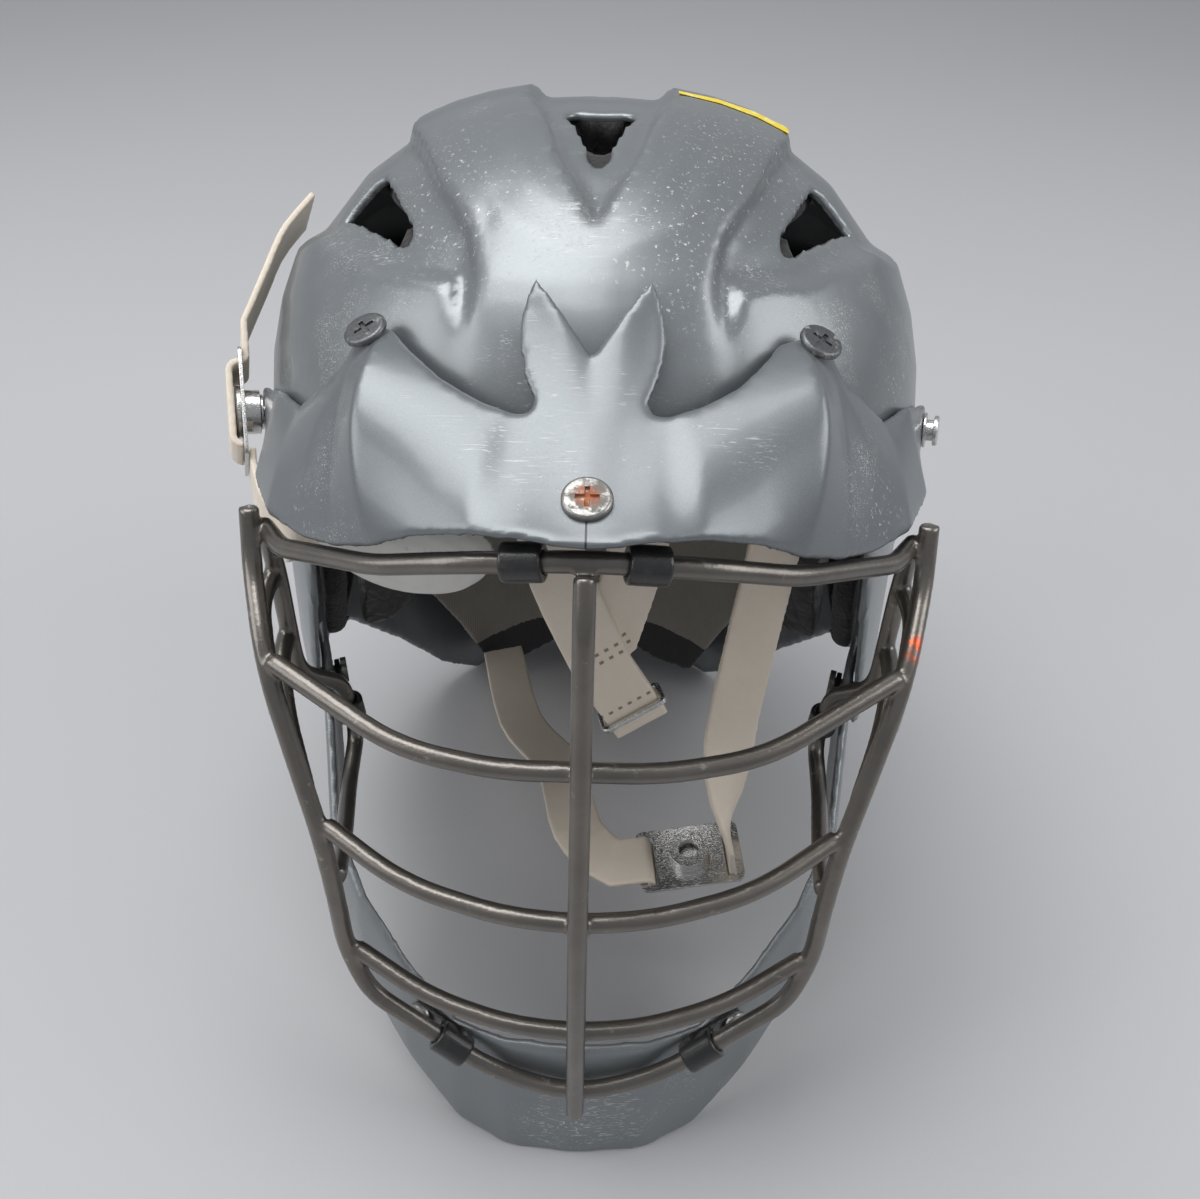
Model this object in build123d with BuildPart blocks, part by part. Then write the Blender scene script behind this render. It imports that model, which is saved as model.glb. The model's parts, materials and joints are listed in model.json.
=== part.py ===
from build123d import *

import os
from math import acos, asin, atan2, cos, degrees, hypot, pi, radians, sin, tan

# Lacrosse helmet, standing on its chin guard and the rim of its nape.
# +Z is up, the face looks along -Y, and the origin is on the ground below the middle of the helmet.
# Places are shares of the half width, the half length and the height, in that order.

# Overall sizes
shell_width = 220.0
helmet_length = 324.0
helmet_height = 305.0
stand_tilt = 12.0  # degrees that the crown leans back as the helmet stands

# Shell
shell_wall = 3.2
panel_rise = 5.0  # step from the vented channels up to the raised panels
ear_hole_length = 34.0
ear_hole_height = 46.0
ear_hole_corner = 12.0

# Visor
visor_wall = 3.0
visor_gap = 0.3

# Chin guard
guard_wall = 3.6
guard_gap = 2.4

# Face mask
wire_diameter = 6.0

# Mask clips
clip_wall = 2.2
clip_play = 0.05
brow_clip_length = 11.0
chin_clip_length = 12.0
jaw_clip_length = 9.0
bridge_length = 46.0
bridge_depth = 13.0
bridge_thickness = 2.4
bridge_gap = 0.9
clip_seat_gap = 0.6
temple_rise = 1.6  # of the temple screws' heads over the curved ear
temple_nut_gap = 1.3
foot_width = 9.0
foot_thickness = 2.0

# Screws and nuts
visor_screw_head = 13.0
temple_screw_head = 12.4
jaw_screw_head = 10.0
chin_screw_head = 10.0
screw_head_height = 1.8
screw_shank = 4.8
drive_slot_width = 1.3
drive_slot_length = 6.0
drive_slot_depth = 0.9
nut_diameter = 9.5
nut_thickness = 2.2
shank_play = 0.1
seat_play = 0.05
disc_play = 0.2  # for washers on the shell's hollow side

# Strap studs
stud_cap_diameter = 10.0
stud_cap_thickness = 1.5
stud_neck_diameter = 7.0
stud_neck_length = 2.4
stud_collar_diameter = 11.6
stud_collar_thickness = 0.8
stud_post_diameter = 5.0
stud_foot_diameter = 12.0
stud_foot_thickness = 1.2

# Padding
pad_gap = 0.4
crown_liner_thickness = 13.0
brow_pad_thickness = 12.0
nape_pad_thickness = 11.5
nape_panel_thickness = 2.0
ear_foam_thickness = 13.0
ear_cushion_thickness = 25.0

# Chin strap
strap_width = 19.0
strap_thickness = 2.2
cup_width = 56.0
cup_height = 42.0
cup_depth = 14.0
cup_wall = 3.0
plate_length = 38.0
plate_width = 25.0
plate_thickness = 1.2
plate_corner = 3.0
plate_slot_play = 0.6
plate_slot_bar = 2.8
socket_diameter = 14.5
socket_height = 4.9
socket_top = 1.1
snap_cap_diameter = 17.5
snap_cap_height = 1.8
snap_play = 0.05
rivet_diameter = 5.0
slider_wire = 1.8
slider_play = 0.4
straight_run = 30.0
slider_rise = 6.0
strap_gap = 0.3
tail_end_gap = 4.2
tail_bend = 2.0

# Crown label
label_thickness = 0.3
label_gap = 0.1

overrun = 40.0  # how far cutting tools run past what they cut

half_width = shell_width / 2
half_length = helmet_length / 2

os.makedirs("parts", exist_ok=True)


def at(shares, side=1):
    """The place at these shares of half width, half length and height."""
    x, y, z = shares
    return Vector(side * x * half_width, y * half_length, z * helmet_height)


def keep(piece, name):
    """Label a finished piece and write its file."""
    piece.part.label = name
    export_step(piece.part, f"parts/{name}.step")
    print(name, round(piece.part.volume))


# Head form: a superellipse turned about the leaning crown axis and stretched to the shell's length.
# A spot on it has an azimuth, in degrees from the face, and a level: 0 at the crown, 1 at the widest
# section, and beyond 1 down the skirt.
dome_exponent = 2.4  # squareness of the head form's upright section
dome_length_share = 0.784
crown_rise_share = 0.364
skirt_drop_share = 0.984
dome_centre_shares = (0, 0.228, 0.613)
dome_half_length = half_length * dome_length_share
crown_rise = helmet_height * crown_rise_share
skirt_drop = helmet_height * skirt_drop_share
lean = radians(stand_tilt)
dome_plane = Plane(origin=at(dome_centre_shares), x_dir=(1, 0, 0), z_dir=(0, sin(lean), cos(lean)))


def level_of(reach):
    """The level at which the head form reaches a share of its widest section."""
    return asin(min(1, reach) ** (dome_exponent / 2)) / (pi / 2)


def profile(azimuth, level, outset):
    """Distance from the crown axis and height of a spot, outset from the floor of the channels."""
    turn = radians(azimuth)
    widest = hypot(sin(turn) * half_width, cos(turn) * dome_half_length) * (1 + outset / half_width)
    if level <= 1:
        angle = level * pi / 2
        reach = sin(angle) ** (2 / dome_exponent)
        height = (crown_rise + outset) * max(0, cos(angle)) ** (2 / dome_exponent)
    else:
        height = -(level - 1) * skirt_drop
        reach = (1 - (level - 1) ** dome_exponent) ** (1 / dome_exponent)
    return widest * reach, height


def meridian(azimuth, side=1):
    """The upright half plane through the crown axis at an azimuth."""
    turn = radians(azimuth)
    out = Vector(side * sin(turn) * half_width, -cos(turn) * dome_half_length, 0).normalized()
    out = dome_plane.from_local_coords(out) - dome_plane.origin
    return Plane(origin=dome_plane.origin, x_dir=out, z_dir=out.cross(dome_plane.z_dir))


def spot(azimuth, level, outset, side=1):
    """A spot on the head form."""
    distance, height = profile(azimuth, level, outset)
    return meridian(azimuth, side).from_local_coords(Vector(distance, height, 0))


def facing(azimuth, level, outset, side=1):
    """A plane that lies on the head form at a spot and faces outwards, with its x axis level."""
    step = 1 / 1000
    here = spot(azimuth, level, outset, side)
    down = spot(azimuth, level + step, outset, side) - here
    round_about = spot(azimuth + 1, level, outset, side) - spot(azimuth - 1, level, outset, side)
    outward = down.cross(round_about).normalized() * side
    return Plane(origin=here, x_dir=Vector(0, 0, 1).cross(outward), z_dir=outward)


def plan_facing(shares, outset):
    """As facing, for a spot given by plan shares of the head form."""
    x, y = shares
    azimuth = degrees(atan2(abs(x), -y))
    return facing(azimuth, level_of(hypot(x, y)), outset, 1 if x >= 0 else -1)


def level_at_height(azimuth, height_share, outset):
    """The level at which a meridian passes a height above the ground."""
    low, high = 0, 1.8
    for _ in range(40):
        middle = (low + high) / 2
        if spot(azimuth, middle, outset).Z > height_share * helmet_height:
            low = middle
        else:
            high = middle
    return low


def band(azimuths, outer, inner, side=1):
    """A solid skin between two rows of spots on each of several meridians."""
    with BuildPart() as skin:
        for azimuth in azimuths:
            corners = [profile(azimuth, *place) for place in outer(azimuth) + inner(azimuth)[::-1]]
            with BuildSketch(meridian(azimuth, side)):
                with BuildLine():
                    Polyline(*corners, close=True)
                make_face()
        loft(ruled=True)
    return skin.part


# Shell: raised panels over vented channels
centre_chain_shares = [(0, -0.7), (0.1, -0.51), (0.2, -0.05), (0.19, 0.45), (0, 0.74)]
upper_chain_shares = [(0.21, -0.82), (0.31, -0.68), (0.41, -0.51), (0.56, -0.08), (0.52, 0.3), (0.24, 0.82)]
lower_chain_shares = [
    (0.21, -0.82),
    (0.38, -0.72),
    (0.51, -0.66),
    (0.66, -0.49),
    (0.88, -0.13),
    (0.88, 0.2),
    (0.66, 0.56),
    (0.24, 0.82),
]
channel_wall_share = 0.018  # half the plan width of a channel's sloping wall
pole_share = 0.04
plain_upper_share = 0.83
plain_lower_share = 0.9
skirt_steps = 6
front_azimuths = (0, 5, 10, 14, 19, 25, 32, 40, 47, 52, 56, 60)
shell_azimuths = front_azimuths + (66, 78, 92, 104, 121, 134, 144, 156, 164, 171, 180)
edge_shares = [
    (0, 0.785),
    (25, 0.78),
    (40, 0.747),
    (47, 0.7),
    (52, 0.62),
    (56, 0.5),
    (60, 0.42),
    (66, 0.33),
    (78, 0.3),
    (92, 0.288),
    (104, 0.246),
    (121, 0.131),
    (134, 0.04),
    (144, 0),
    (180, 0),
]
centre_vent_shares = [(0, -0.54), (0.1, -0.16), (-0.1, -0.16)]
rear_vent_shares = [(0, 0.6), (0.1, 0.24), (-0.1, 0.24)]
side_vent_shares = [(0.74, -0.27), (0.62, -0.24), (0.49, -0.56), (0.49, -0.61)]
rear_side_vent_shares = [(0.74, 0.3), (0.61, 0.27), (0.47, 0.58), (0.48, 0.63)]
ear_hole_shares = (0, -0.025, 0.5)


def crossing(chain, azimuth):
    """How far out a line at an azimuth crosses a chain of plan places, if it does."""
    turn = radians(azimuth)
    for (x1, y1), (x2, y2) in zip(chain, chain[1:]):
        first = x1 * cos(turn) + y1 * sin(turn)
        second = x2 * cos(turn) + y2 * sin(turn)
        if first <= 0 < second or first < 0 <= second:
            part = first / (first - second)
            return hypot(x1 + (x2 - x1) * part, y1 + (y2 - y1) * part)
    return None


def edge_share(azimuth, table):
    """Height share of an edge at an azimuth, from a table of corners."""
    for (first, low), (second, high) in zip(table, table[1:]):
        if first <= azimuth <= second:
            return low + (high - low) * (azimuth - first) / (second - first)
    return table[-1][1]


def spread(first, last, count):
    """Levels evenly spaced between two levels, ends left out."""
    return [first + (last - first) * step / (count + 1) for step in range(1, count + 1)]


def shell_row(azimuth, inset):
    """Levels and outsets down one meridian of the shell, drawn in by an inset."""
    wall = channel_wall_share
    centre = crossing(centre_chain_shares, azimuth) or -centre_chain_shares[0][1]
    if azimuth == 180:
        centre = centre_chain_shares[-1][1]
    upper = crossing(upper_chain_shares, azimuth)
    lower = crossing(lower_chain_shares, azimuth)
    floor = 0
    if not upper or not lower or lower - upper < 4 * wall:
        upper, lower, floor = plain_upper_share, plain_lower_share, panel_rise
    edge = level_at_height(azimuth, edge_share(azimuth, edge_shares), panel_rise)
    row = [(level_of(pole_share), 0)]
    row += [(level, 0) for level in spread(level_of(pole_share), level_of(centre - wall), 3)]
    row += [(level_of(centre - wall), 0), (level_of(centre + wall), panel_rise)]
    row += [(level, panel_rise) for level in spread(level_of(centre + wall), level_of(upper - wall), 2)]
    row += [(level_of(upper - wall), panel_rise), (level_of(upper + wall), floor)]
    row += [(level_of((upper + lower) / 2), floor)]
    row += [(level_of(lower - wall), floor), (level_of(lower + wall), panel_rise)]
    row += [(level, panel_rise) for level in spread(level_of(lower + wall), edge, skirt_steps)]
    row += [(edge, panel_rise)]
    return [(level, rise - inset) for level, rise in row]


def vent_block(table):
    """A block square to the shell through one vent."""
    middle = (sum(x for x, y in table) / len(table), sum(y for x, y in table) / len(table))
    plane = plan_facing(middle, 0)
    corners = [plane.to_local_coords(plan_facing(place, 0).origin) for place in table]
    with BuildPart() as block:
        with BuildSketch(plane):
            with BuildLine():
                Polyline(*[(corner.X, corner.Y) for corner in corners], close=True)
            make_face()
        extrude(amount=overrun / 2, both=True)
    return block.part


def peg(plane, diameter):
    """A round tool through a wall."""
    with BuildPart() as tool:
        with BuildSketch(plane):
            Circle(diameter / 2)
        extrude(amount=overrun / 2, both=True)
    return tool.part


# Where fasteners sit: azimuth and level
front_stud_spot = (69.7, 0.938)
rear_stud_spot = (124, 1.24)
jaw_screw_spot = (68.5, 1.29)
visor_cover = visor_gap + visor_wall

# Visor: columns of a skin, each with a low point on the brim, one on the crest and a top point on the shell
brim_shares = [
    (0, -0.765, 0.832),
    (0.082, -0.762, 0.834),
    (0.155, -0.753, 0.836),
    (0.19, -0.747, 0.834),
    (0.264, -0.731, 0.83),
    (0.4, -0.694, 0.81),
    (0.518, -0.654, 0.78),
    (0.627, -0.599, 0.756),
    (0.727, -0.537, 0.738),
    (0.845, -0.451, 0.728),
    (0.95, -0.278, 0.703),
]
crest_shares = [
    (0, -0.586, 0.862),
    (0.082, -0.556, 0.867),
    (0.145, -0.531, 0.872),
    (0.19, -0.522, 0.874),
    (0.255, -0.509, 0.877),
    (0.373, -0.469, 0.885),
    (0.473, -0.401, 0.902),
    (0.564, -0.37, 0.875),
    (0.636, -0.395, 0.839),
    (0.782, -0.358, 0.78),
    (0.918, -0.235, 0.734),
]
visor_top_shares = [
    (0, -0.9),
    (0.07, -0.85),
    (0.135, -0.8),
    (0.17, -0.86),
    (0.21, -0.89),
    (0.34, -0.84),
    (0.45, -0.78),
    (0.54, -0.72),
    (0.59, -0.73),
    (0.74, -0.64),
    (0.83, -0.52),
]
visor_end_spots = [(66.4, (0.985, 0.938, 0.89)), (73, (0.965, 0.938, 0.91))]


def skin_section(low, middle, high, outward, wall):
    """One thin profile through three points of an outer surface, the wall lying behind them."""
    along = (high - low).normalized()
    plane = Plane(origin=low, x_dir=along, z_dir=along.cross(outward))
    bend = plane.to_local_coords(middle)
    reach = (high - low).length
    with BuildSketch(plane) as section:
        with BuildLine():
            Spline((0, 0), (bend.X, bend.Y), (reach, 0))
            Line((reach, 0), (reach, -wall))
            Spline((reach, -wall), (bend.X, bend.Y - wall), (0, -wall))
            Line((0, -wall), (0, 0))
        make_face()
    return section.sketch


def skin(columns, wall, ruled=True):
    """A curved wall through columns of three points, from one end to the other."""
    faces = []
    for index, (low, middle, high) in enumerate(columns):
        before = columns[max(index - 1, 0)][1]
        after = columns[min(index + 1, len(columns) - 1)][1]
        outward = (after - before).cross(high - low).normalized()
        faces.append(skin_section(low, middle, high, outward, wall))
    with BuildPart() as wall_part:
        add(faces)
        loft(ruled=ruled)
    return wall_part.part


def visor_columns(side):
    """The columns on one side, from the middle out."""
    columns = []
    for low, middle, (x, y) in zip(brim_shares, crest_shares, visor_top_shares):
        top = plan_facing((x, y), panel_rise + visor_cover).origin
        columns.append([at(low, side), at(middle, side), Vector(side * top.X, top.Y, top.Z)])
    for azimuth, levels in visor_end_spots:
        columns.append([spot(azimuth, level, panel_rise + visor_cover, side) for level in levels])
    return columns


def square_to(direction, along):
    """The part of a direction that is square to another."""
    return direction - along * (direction.dot(along) / along.dot(along))


def lerp(first, second, part):
    """A place part of the way from one to another."""
    return first + (second - first) * part


def on_skin(columns, index, part, up, side):
    """A plane on the outer face of a skin, part of the way between two of its columns and up them."""
    low, middle, high = [lerp(one, two, part) for one, two in zip(columns[index], columns[index + 1])]
    bend = (middle - low).length / ((middle - low).length + (high - middle).length)

    def place(rise):
        first = (rise - bend) * (rise - 1) / bend
        second = rise * (rise - 1) / (bend * (bend - 1))
        return low * first + middle * second + high * (rise * (rise - bend) / (1 - bend))

    step = 1 / 100
    near, far = [lerp(column[0], column[2], up) for column in columns[index : index + 2]]
    outward = (far - near).cross(place(up + step) - place(up - step)).normalized() * side
    return Plane(origin=place(up), x_dir=Vector(0, 0, 1).cross(outward), z_dir=outward)


temple_column = 6
temple_across_share = 0.86
temple_up_share = 0.9
temple_plane = {}
for side in (1, -1):
    ear_plane = on_skin(visor_columns(side), temple_column, temple_across_share, temple_up_share, side)
    temple_plane[side] = ear_plane.offset(temple_rise)
bridge_up_share = 0.24
middle_seat = on_skin(visor_columns(1), 0, 0, bridge_up_share, 1)
middle_screw_plane = Plane(
    origin=middle_seat.origin,
    x_dir=(1, 0, 0),
    z_dir=(0, middle_seat.z_dir.Y, middle_seat.z_dir.Z),
)


def on_shell(azimuth, level, outset, side=1):
    """As facing, for the flat facet between two of the shell's meridians."""
    before = max(place for place in shell_azimuths if place <= azimuth)
    after = min(place for place in shell_azimuths if place > azimuth)
    part = (azimuth - before) / (after - before)

    def place(height):
        return lerp(spot(before, height, outset, side), spot(after, height, outset, side), part)

    step = 1 / 100
    around = spot(after, level, outset, side) - spot(before, level, outset, side)
    outward = (place(level + step) - place(level - step)).cross(around).normalized() * side
    return Plane(origin=place(level), x_dir=Vector(0, 0, 1).cross(outward), z_dir=outward)


def inner_depth(plane, spot_on_shell, radius, side):
    """How deep below a plane a disc on its axis clears the shell's inner face."""
    seat = on_shell(*spot_on_shell, panel_rise - shell_wall, side)
    upright = plane.z_dir.dot(seat.z_dir)
    depth = (plane.origin - seat.origin).dot(seat.z_dir) / upright
    return depth + radius * tan(acos(upright)) + disc_play


def spot_below(plane):
    """The azimuth and level of a plane's origin."""
    place = dome_plane.to_local_coords(plane.origin)
    x, y = abs(place.X) / half_width, -place.Y / dome_half_length
    height = min(1, place.Z / (crown_rise + panel_rise + visor_cover))
    return degrees(atan2(x, y)), acos(height ** (dome_exponent / 2)) / (pi / 2)


front_stud_plane = {side: facing(*front_stud_spot, panel_rise + visor_cover, side) for side in (1, -1)}
rear_stud_plane = {side: on_shell(*rear_stud_spot, panel_rise, side) for side in (1, -1)}
jaw_plane = {side: on_shell(*jaw_screw_spot, panel_rise, side) for side in (1, -1)}


def hole_planes(side):
    """Where shanks pass through the shell on one side, with the diameter of each shank."""
    return [
        (front_stud_plane[side], stud_post_diameter),
        (rear_stud_plane[side], stud_post_diameter),
        (temple_plane[side], screw_shank),
        (jaw_plane[side], screw_shank),
    ]


with BuildPart() as shell:
    for side in (1, -1):
        add(
            band(
                shell_azimuths,
                lambda azimuth: shell_row(azimuth, 0),
                lambda azimuth: shell_row(azimuth, shell_wall),
                side,
            )
        )
    with BuildSketch(dome_plane.offset(crown_rise)):
        Circle(profile(0, level_of(pole_share), 0)[0] + shell_wall)
    extrude(amount=-shell_wall)
    holes = [vent_block(centre_vent_shares), vent_block(rear_vent_shares)]
    for table in (side_vent_shares, rear_side_vent_shares):
        holes += [vent_block(table), vent_block([(-x, y) for x, y in table])]
    for side in (1, -1):
        holes += [peg(plane, diameter + 2 * shank_play) for plane, diameter in hole_planes(side)]
    add(holes, mode=Mode.SUBTRACT)
    with BuildSketch(Plane.YZ):
        with Locations((at(ear_hole_shares).Y, at(ear_hole_shares).Z)):
            RectangleRounded(ear_hole_length, ear_hole_height, ear_hole_corner)
    extrude(amount=half_width + overrun, both=True, mode=Mode.SUBTRACT)
keep(shell, "shell")

with BuildPart() as visor:
    add(skin(visor_columns(-1)[::-1] + visor_columns(1)[1:], visor_wall))
    for side in (1, -1):
        add(peg(temple_plane[side], screw_shank + 2 * shank_play), mode=Mode.SUBTRACT)
        add(peg(front_stud_plane[side], stud_post_diameter + 2 * shank_play), mode=Mode.SUBTRACT)
    add(peg(middle_screw_plane, screw_shank + 2 * shank_play), mode=Mode.SUBTRACT)
keep(visor, "visor")

# Chin guard: columns of low and high places on its outer face, the last ones under the shell's cheeks
guard_low_shares = [
    (0, -0.951, 0),
    (0.22, -0.937, 0),
    (0.39, -0.877, 0),
    (0.55, -0.79, 0.045),
    (0.7, -0.67, 0.092),
    (0.81, -0.525, 0.15),
    (0.84, -0.37, 0.212),
]
guard_high_shares = [
    (0, -0.895, 0.185),
    (0.22, -0.882, 0.185),
    (0.39, -0.845, 0.19),
    (0.55, -0.75, 0.226),
    (0.7, -0.64, 0.266),
    (0.81, -0.505, 0.305),
    (0.847, -0.36, 0.35),
]
guard_end_spots = [(66.5, (1.36, 1.23)), (72, (1.355, 1.225))]
guard_belly_share = 0.01


def guard_columns(side):
    """The columns on one side, from the middle out."""
    columns = []
    for low, high in zip(guard_low_shares, guard_high_shares):
        middle = (at(low, side) + at(high, side)) / 2
        belly = Vector(middle.X, middle.Y, 0).normalized() * guard_belly_share * half_length
        columns.append([at(low, side), middle + belly, at(high, side)])
    for azimuth, levels in guard_end_spots:
        outset = panel_rise - shell_wall - guard_gap
        low, high = [spot(azimuth, level, outset, side) for level in levels]
        columns.append([low, spot(azimuth, sum(levels) / 2, outset, side), high])
    return columns


chin_column = 2
chin_across_share = 0.5
chin_up_share = 0.84
chin_plane = {
    side: on_skin(guard_columns(side), chin_column, chin_across_share, chin_up_share, side)
    for side in (1, -1)
}

with BuildPart() as chin_guard:
    add(skin(guard_columns(-1)[::-1] + guard_columns(1)[1:], guard_wall))
    for side in (1, -1):
        for plane in (jaw_plane[side], chin_plane[side]):
            add(peg(plane, screw_shank + 2 * shank_play), mode=Mode.SUBTRACT)
    split(bisect_by=Plane.XY, keep=Keep.TOP)
keep(chin_guard, "chin_guard")

# Face mask: one bent wire for each bar, butted or laid against its neighbours and welded
bend_share = 0.45  # part of a run that the bend at its end takes up
rear_bend_share = 0.3
top_bend_share = 0.25
frame_bar_shares = [
    (0.9, -0.425, 0.726),
    (0.905, -0.462, 0.67),
    (0.836, -0.63, 0.62),
    (0.764, -0.705, 0.515),
    (0.718, -0.752, 0.455),
    (0.69, -0.79, 0.38),
    (0.686, -0.8, 0.3),
    (0.62, -0.84, 0.245),
    (0.5, -0.866, 0.218),
    (0.255, -0.916, 0.158),
    (0, -0.944, 0.137),
]
top_bar_shares = [
    (0.878, -0.412, 0.699),
    (0.8, -0.495, 0.707),
    (0.51, -0.648, 0.756),
    (0.3, -0.712, 0.789),
    (0, -0.742, 0.807),
]
upper_bar_shares = [(0.82, -0.62, 0.622), (0.46, -0.785, 0.603), (0.2, -0.832, 0.606), (0, -0.842, 0.612)]
middle_bar_shares = [(0.7, -0.745, 0.462), (0.47, -0.855, 0.45), (0.2, -0.912, 0.447), (0, -0.929, 0.45)]
lower_bar_shares = [(0.655, -0.801, 0.295), (0.43, -0.885, 0.277), (0.2, -0.933, 0.272), (0, -0.947, 0.272)]
centre_bar_shares = [
    (0, -0.769, 0.803),
    (0, -0.815, 0.765),
    (0, -0.872, 0.615),
    (0, -0.9635, 0.45),
    (0, -0.9815, 0.28),
    (0, -0.972, 0.125),
]
rear_bar_shares = [
    (0.881, -0.4, 0.692),
    (0.885, -0.375, 0.62),
    (0.875, -0.395, 0.49),
    (0.79, -0.29, 0.42),
    (0.77, -0.29, 0.335),
    (0.765, -0.42, 0.325),
    (0.72, -0.62, 0.355),
    (0.69, -0.76, 0.39),
]
upper_loop_shares = [
    (0.89, -0.39, 0.627),
    (0.905, -0.46, 0.622),
    (0.88, -0.54, 0.585),
    (0.813, -0.652, 0.567),
]
lower_loop_shares = [
    (0.885, -0.395, 0.545),
    (0.88, -0.47, 0.545),
    (0.84, -0.57, 0.515),
    (0.757, -0.705, 0.493),
]


def bent_wire(places, bend=bend_share):
    """A round wire along straight runs joined by arcs."""
    radii = []
    for before, here, after in zip(places, places[1:], places[2:]):
        turn = radians((here - before).get_angle(after - here))
        run = min((here - before).length, (after - here).length)
        radii.append(bend * run / tan(turn / 2))
    with BuildPart() as wire:
        with BuildLine() as route:
            FilletPolyline(*places, radius=radii)
        with BuildSketch(Plane(origin=route.line @ 0, z_dir=route.line % 0)):
            Circle(wire_diameter / 2)
        sweep()
    return wire.part


def across(table):
    """Places from one side to the other of a table that runs from the right end to the middle."""
    return [at(place, -1) for place in table] + [at(place) for place in reversed(table[:-1])]


for name, table in (
    ("mask_frame_bar", frame_bar_shares),
    ("mask_top_bar", top_bar_shares),
    ("mask_upper_bar", upper_bar_shares),
    ("mask_middle_bar", middle_bar_shares),
    ("mask_lower_bar", lower_bar_shares),
):
    with BuildPart() as bar:
        add(bent_wire(across(table), top_bend_share if table == top_bar_shares else bend_share))
    keep(bar, name)

with BuildPart() as centre_bar:
    add(bent_wire([at(place) for place in centre_bar_shares]))
keep(centre_bar, "mask_centre_bar")

for side, hand in ((1, "left"), (-1, "right")):
    with BuildPart() as rear_bar:
        add(bent_wire([at(place, side) for place in rear_bar_shares], rear_bend_share))
    keep(rear_bar, f"mask_rear_bar_{hand}")
    with BuildPart() as loop_bars:
        for table in (upper_loop_shares, lower_loop_shares):
            add(bent_wire([at(place, side) for place in table]))
    keep(loop_bars, f"mask_loop_bars_{hand}")

# Mask clips
brow_clip_share = 0.141
brow_clip_across_share = 0.94
sleeve_bore = wire_diameter + 2 * clip_play
sleeve_diameter = sleeve_bore + 2 * clip_wall
bridge_top = middle_screw_plane.offset(-visor_wall - bridge_gap)


def sleeve(place, direction, length):
    """A split sleeve around a wire."""
    with BuildPart() as ring:
        with BuildSketch(Plane(origin=place - direction * (length / 2), z_dir=direction)):
            Circle(sleeve_diameter / 2)
            Circle(sleeve_bore / 2, mode=Mode.SUBTRACT)
        extrude(amount=length)
        chamfer(ring.edges().filter_by(GeomType.CIRCLE).sort_by(SortBy.RADIUS)[-2:], clip_wall / 5)
    return ring.part


def along_chain(table, x_share, side):
    """The place and direction on a chain of places, where it passes an x share."""
    for first, second in zip(table, table[1:]):
        if second[0] <= x_share <= first[0]:
            part = (first[0] - x_share) / (first[0] - second[0])
            start, end = at(first, side), at(second, side)
            return start + (end - start) * part, (end - start).normalized()


bridge_under = bridge_top.offset(-bridge_thickness)
with BuildPart() as brow_bridge:
    for side, index in [(-1, 3), (-1, 2), (-1, 1), (1, 0), (1, 1), (1, 2), (1, 3)]:
        seat = on_skin(visor_columns(side), index, 0, bridge_up_share, side)
        seat = seat.offset(-visor_wall - bridge_gap - bridge_thickness / 2)
        upright = square_to(Vector(0, 0, 1), seat.z_dir)
        with BuildSketch(Plane(origin=seat.origin, x_dir=upright, z_dir=seat.x_dir)):
            Rectangle(bridge_depth, bridge_thickness)
    loft(ruled=True)
    add(peg(middle_screw_plane, screw_shank + 2 * shank_play), mode=Mode.SUBTRACT)
keep(brow_bridge, "brow_bridge")


def bore(place, direction):
    """A tool for the bore of a sleeve."""
    with BuildPart() as tool:
        with BuildSketch(Plane(origin=place, z_dir=direction)):
            Circle(sleeve_bore / 2)
        extrude(amount=overrun / 2, both=True)
    return tool.part


for side, hand in ((1, "left"), (-1, "right")):
    with BuildPart() as brow_clip:
        place, direction = along_chain(top_bar_shares, brow_clip_share, side)
        add(sleeve(place, direction, brow_clip_length))
        under = on_skin(visor_columns(side), 1, brow_clip_across_share, bridge_up_share, side)
        under = under.offset(-visor_wall - bridge_gap - bridge_thickness - clip_seat_gap)
        seat = under.to_local_coords(place)
        with BuildSketch(under):
            with Locations((seat.X, 0)):
                Rectangle(brow_clip_length / 2, bridge_depth / 2)
        extrude(amount=seat.Z)
        add(bore(place, direction), mode=Mode.SUBTRACT)
    keep(brow_clip, f"brow_clip_{hand}")


def tab(start, end, outward, width, thickness):
    """A flat tab from one place to another, its outer face through both."""
    along = end - start
    with BuildPart() as foot:
        with BuildSketch(Plane(origin=(start + end) / 2, x_dir=along, z_dir=square_to(outward, along))):
            SlotOverall(along.length + width, width)
        extrude(amount=-thickness)
    return foot.part


chin_clip_share = 0.3775
for side, hand in ((1, "left"), (-1, "right")):
    place, direction = along_chain(frame_bar_shares, chin_clip_share, side)
    screw_plane = chin_plane[side].offset(seat_play + foot_thickness)
    with BuildPart() as chin_clip:
        add(sleeve(place, direction, chin_clip_length))
        seat = screw_plane.to_local_coords(place)
        foot_end = screw_plane.from_local_coords(Vector(seat.X, seat.Y, 0))
        add(tab(screw_plane.origin, foot_end, screw_plane.z_dir, foot_width, foot_thickness))
        add(bore(place, direction), mode=Mode.SUBTRACT)
        add(peg(screw_plane, screw_shank + 2 * shank_play), mode=Mode.SUBTRACT)
    keep(chin_clip, f"chin_clip_{hand}")

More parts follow.
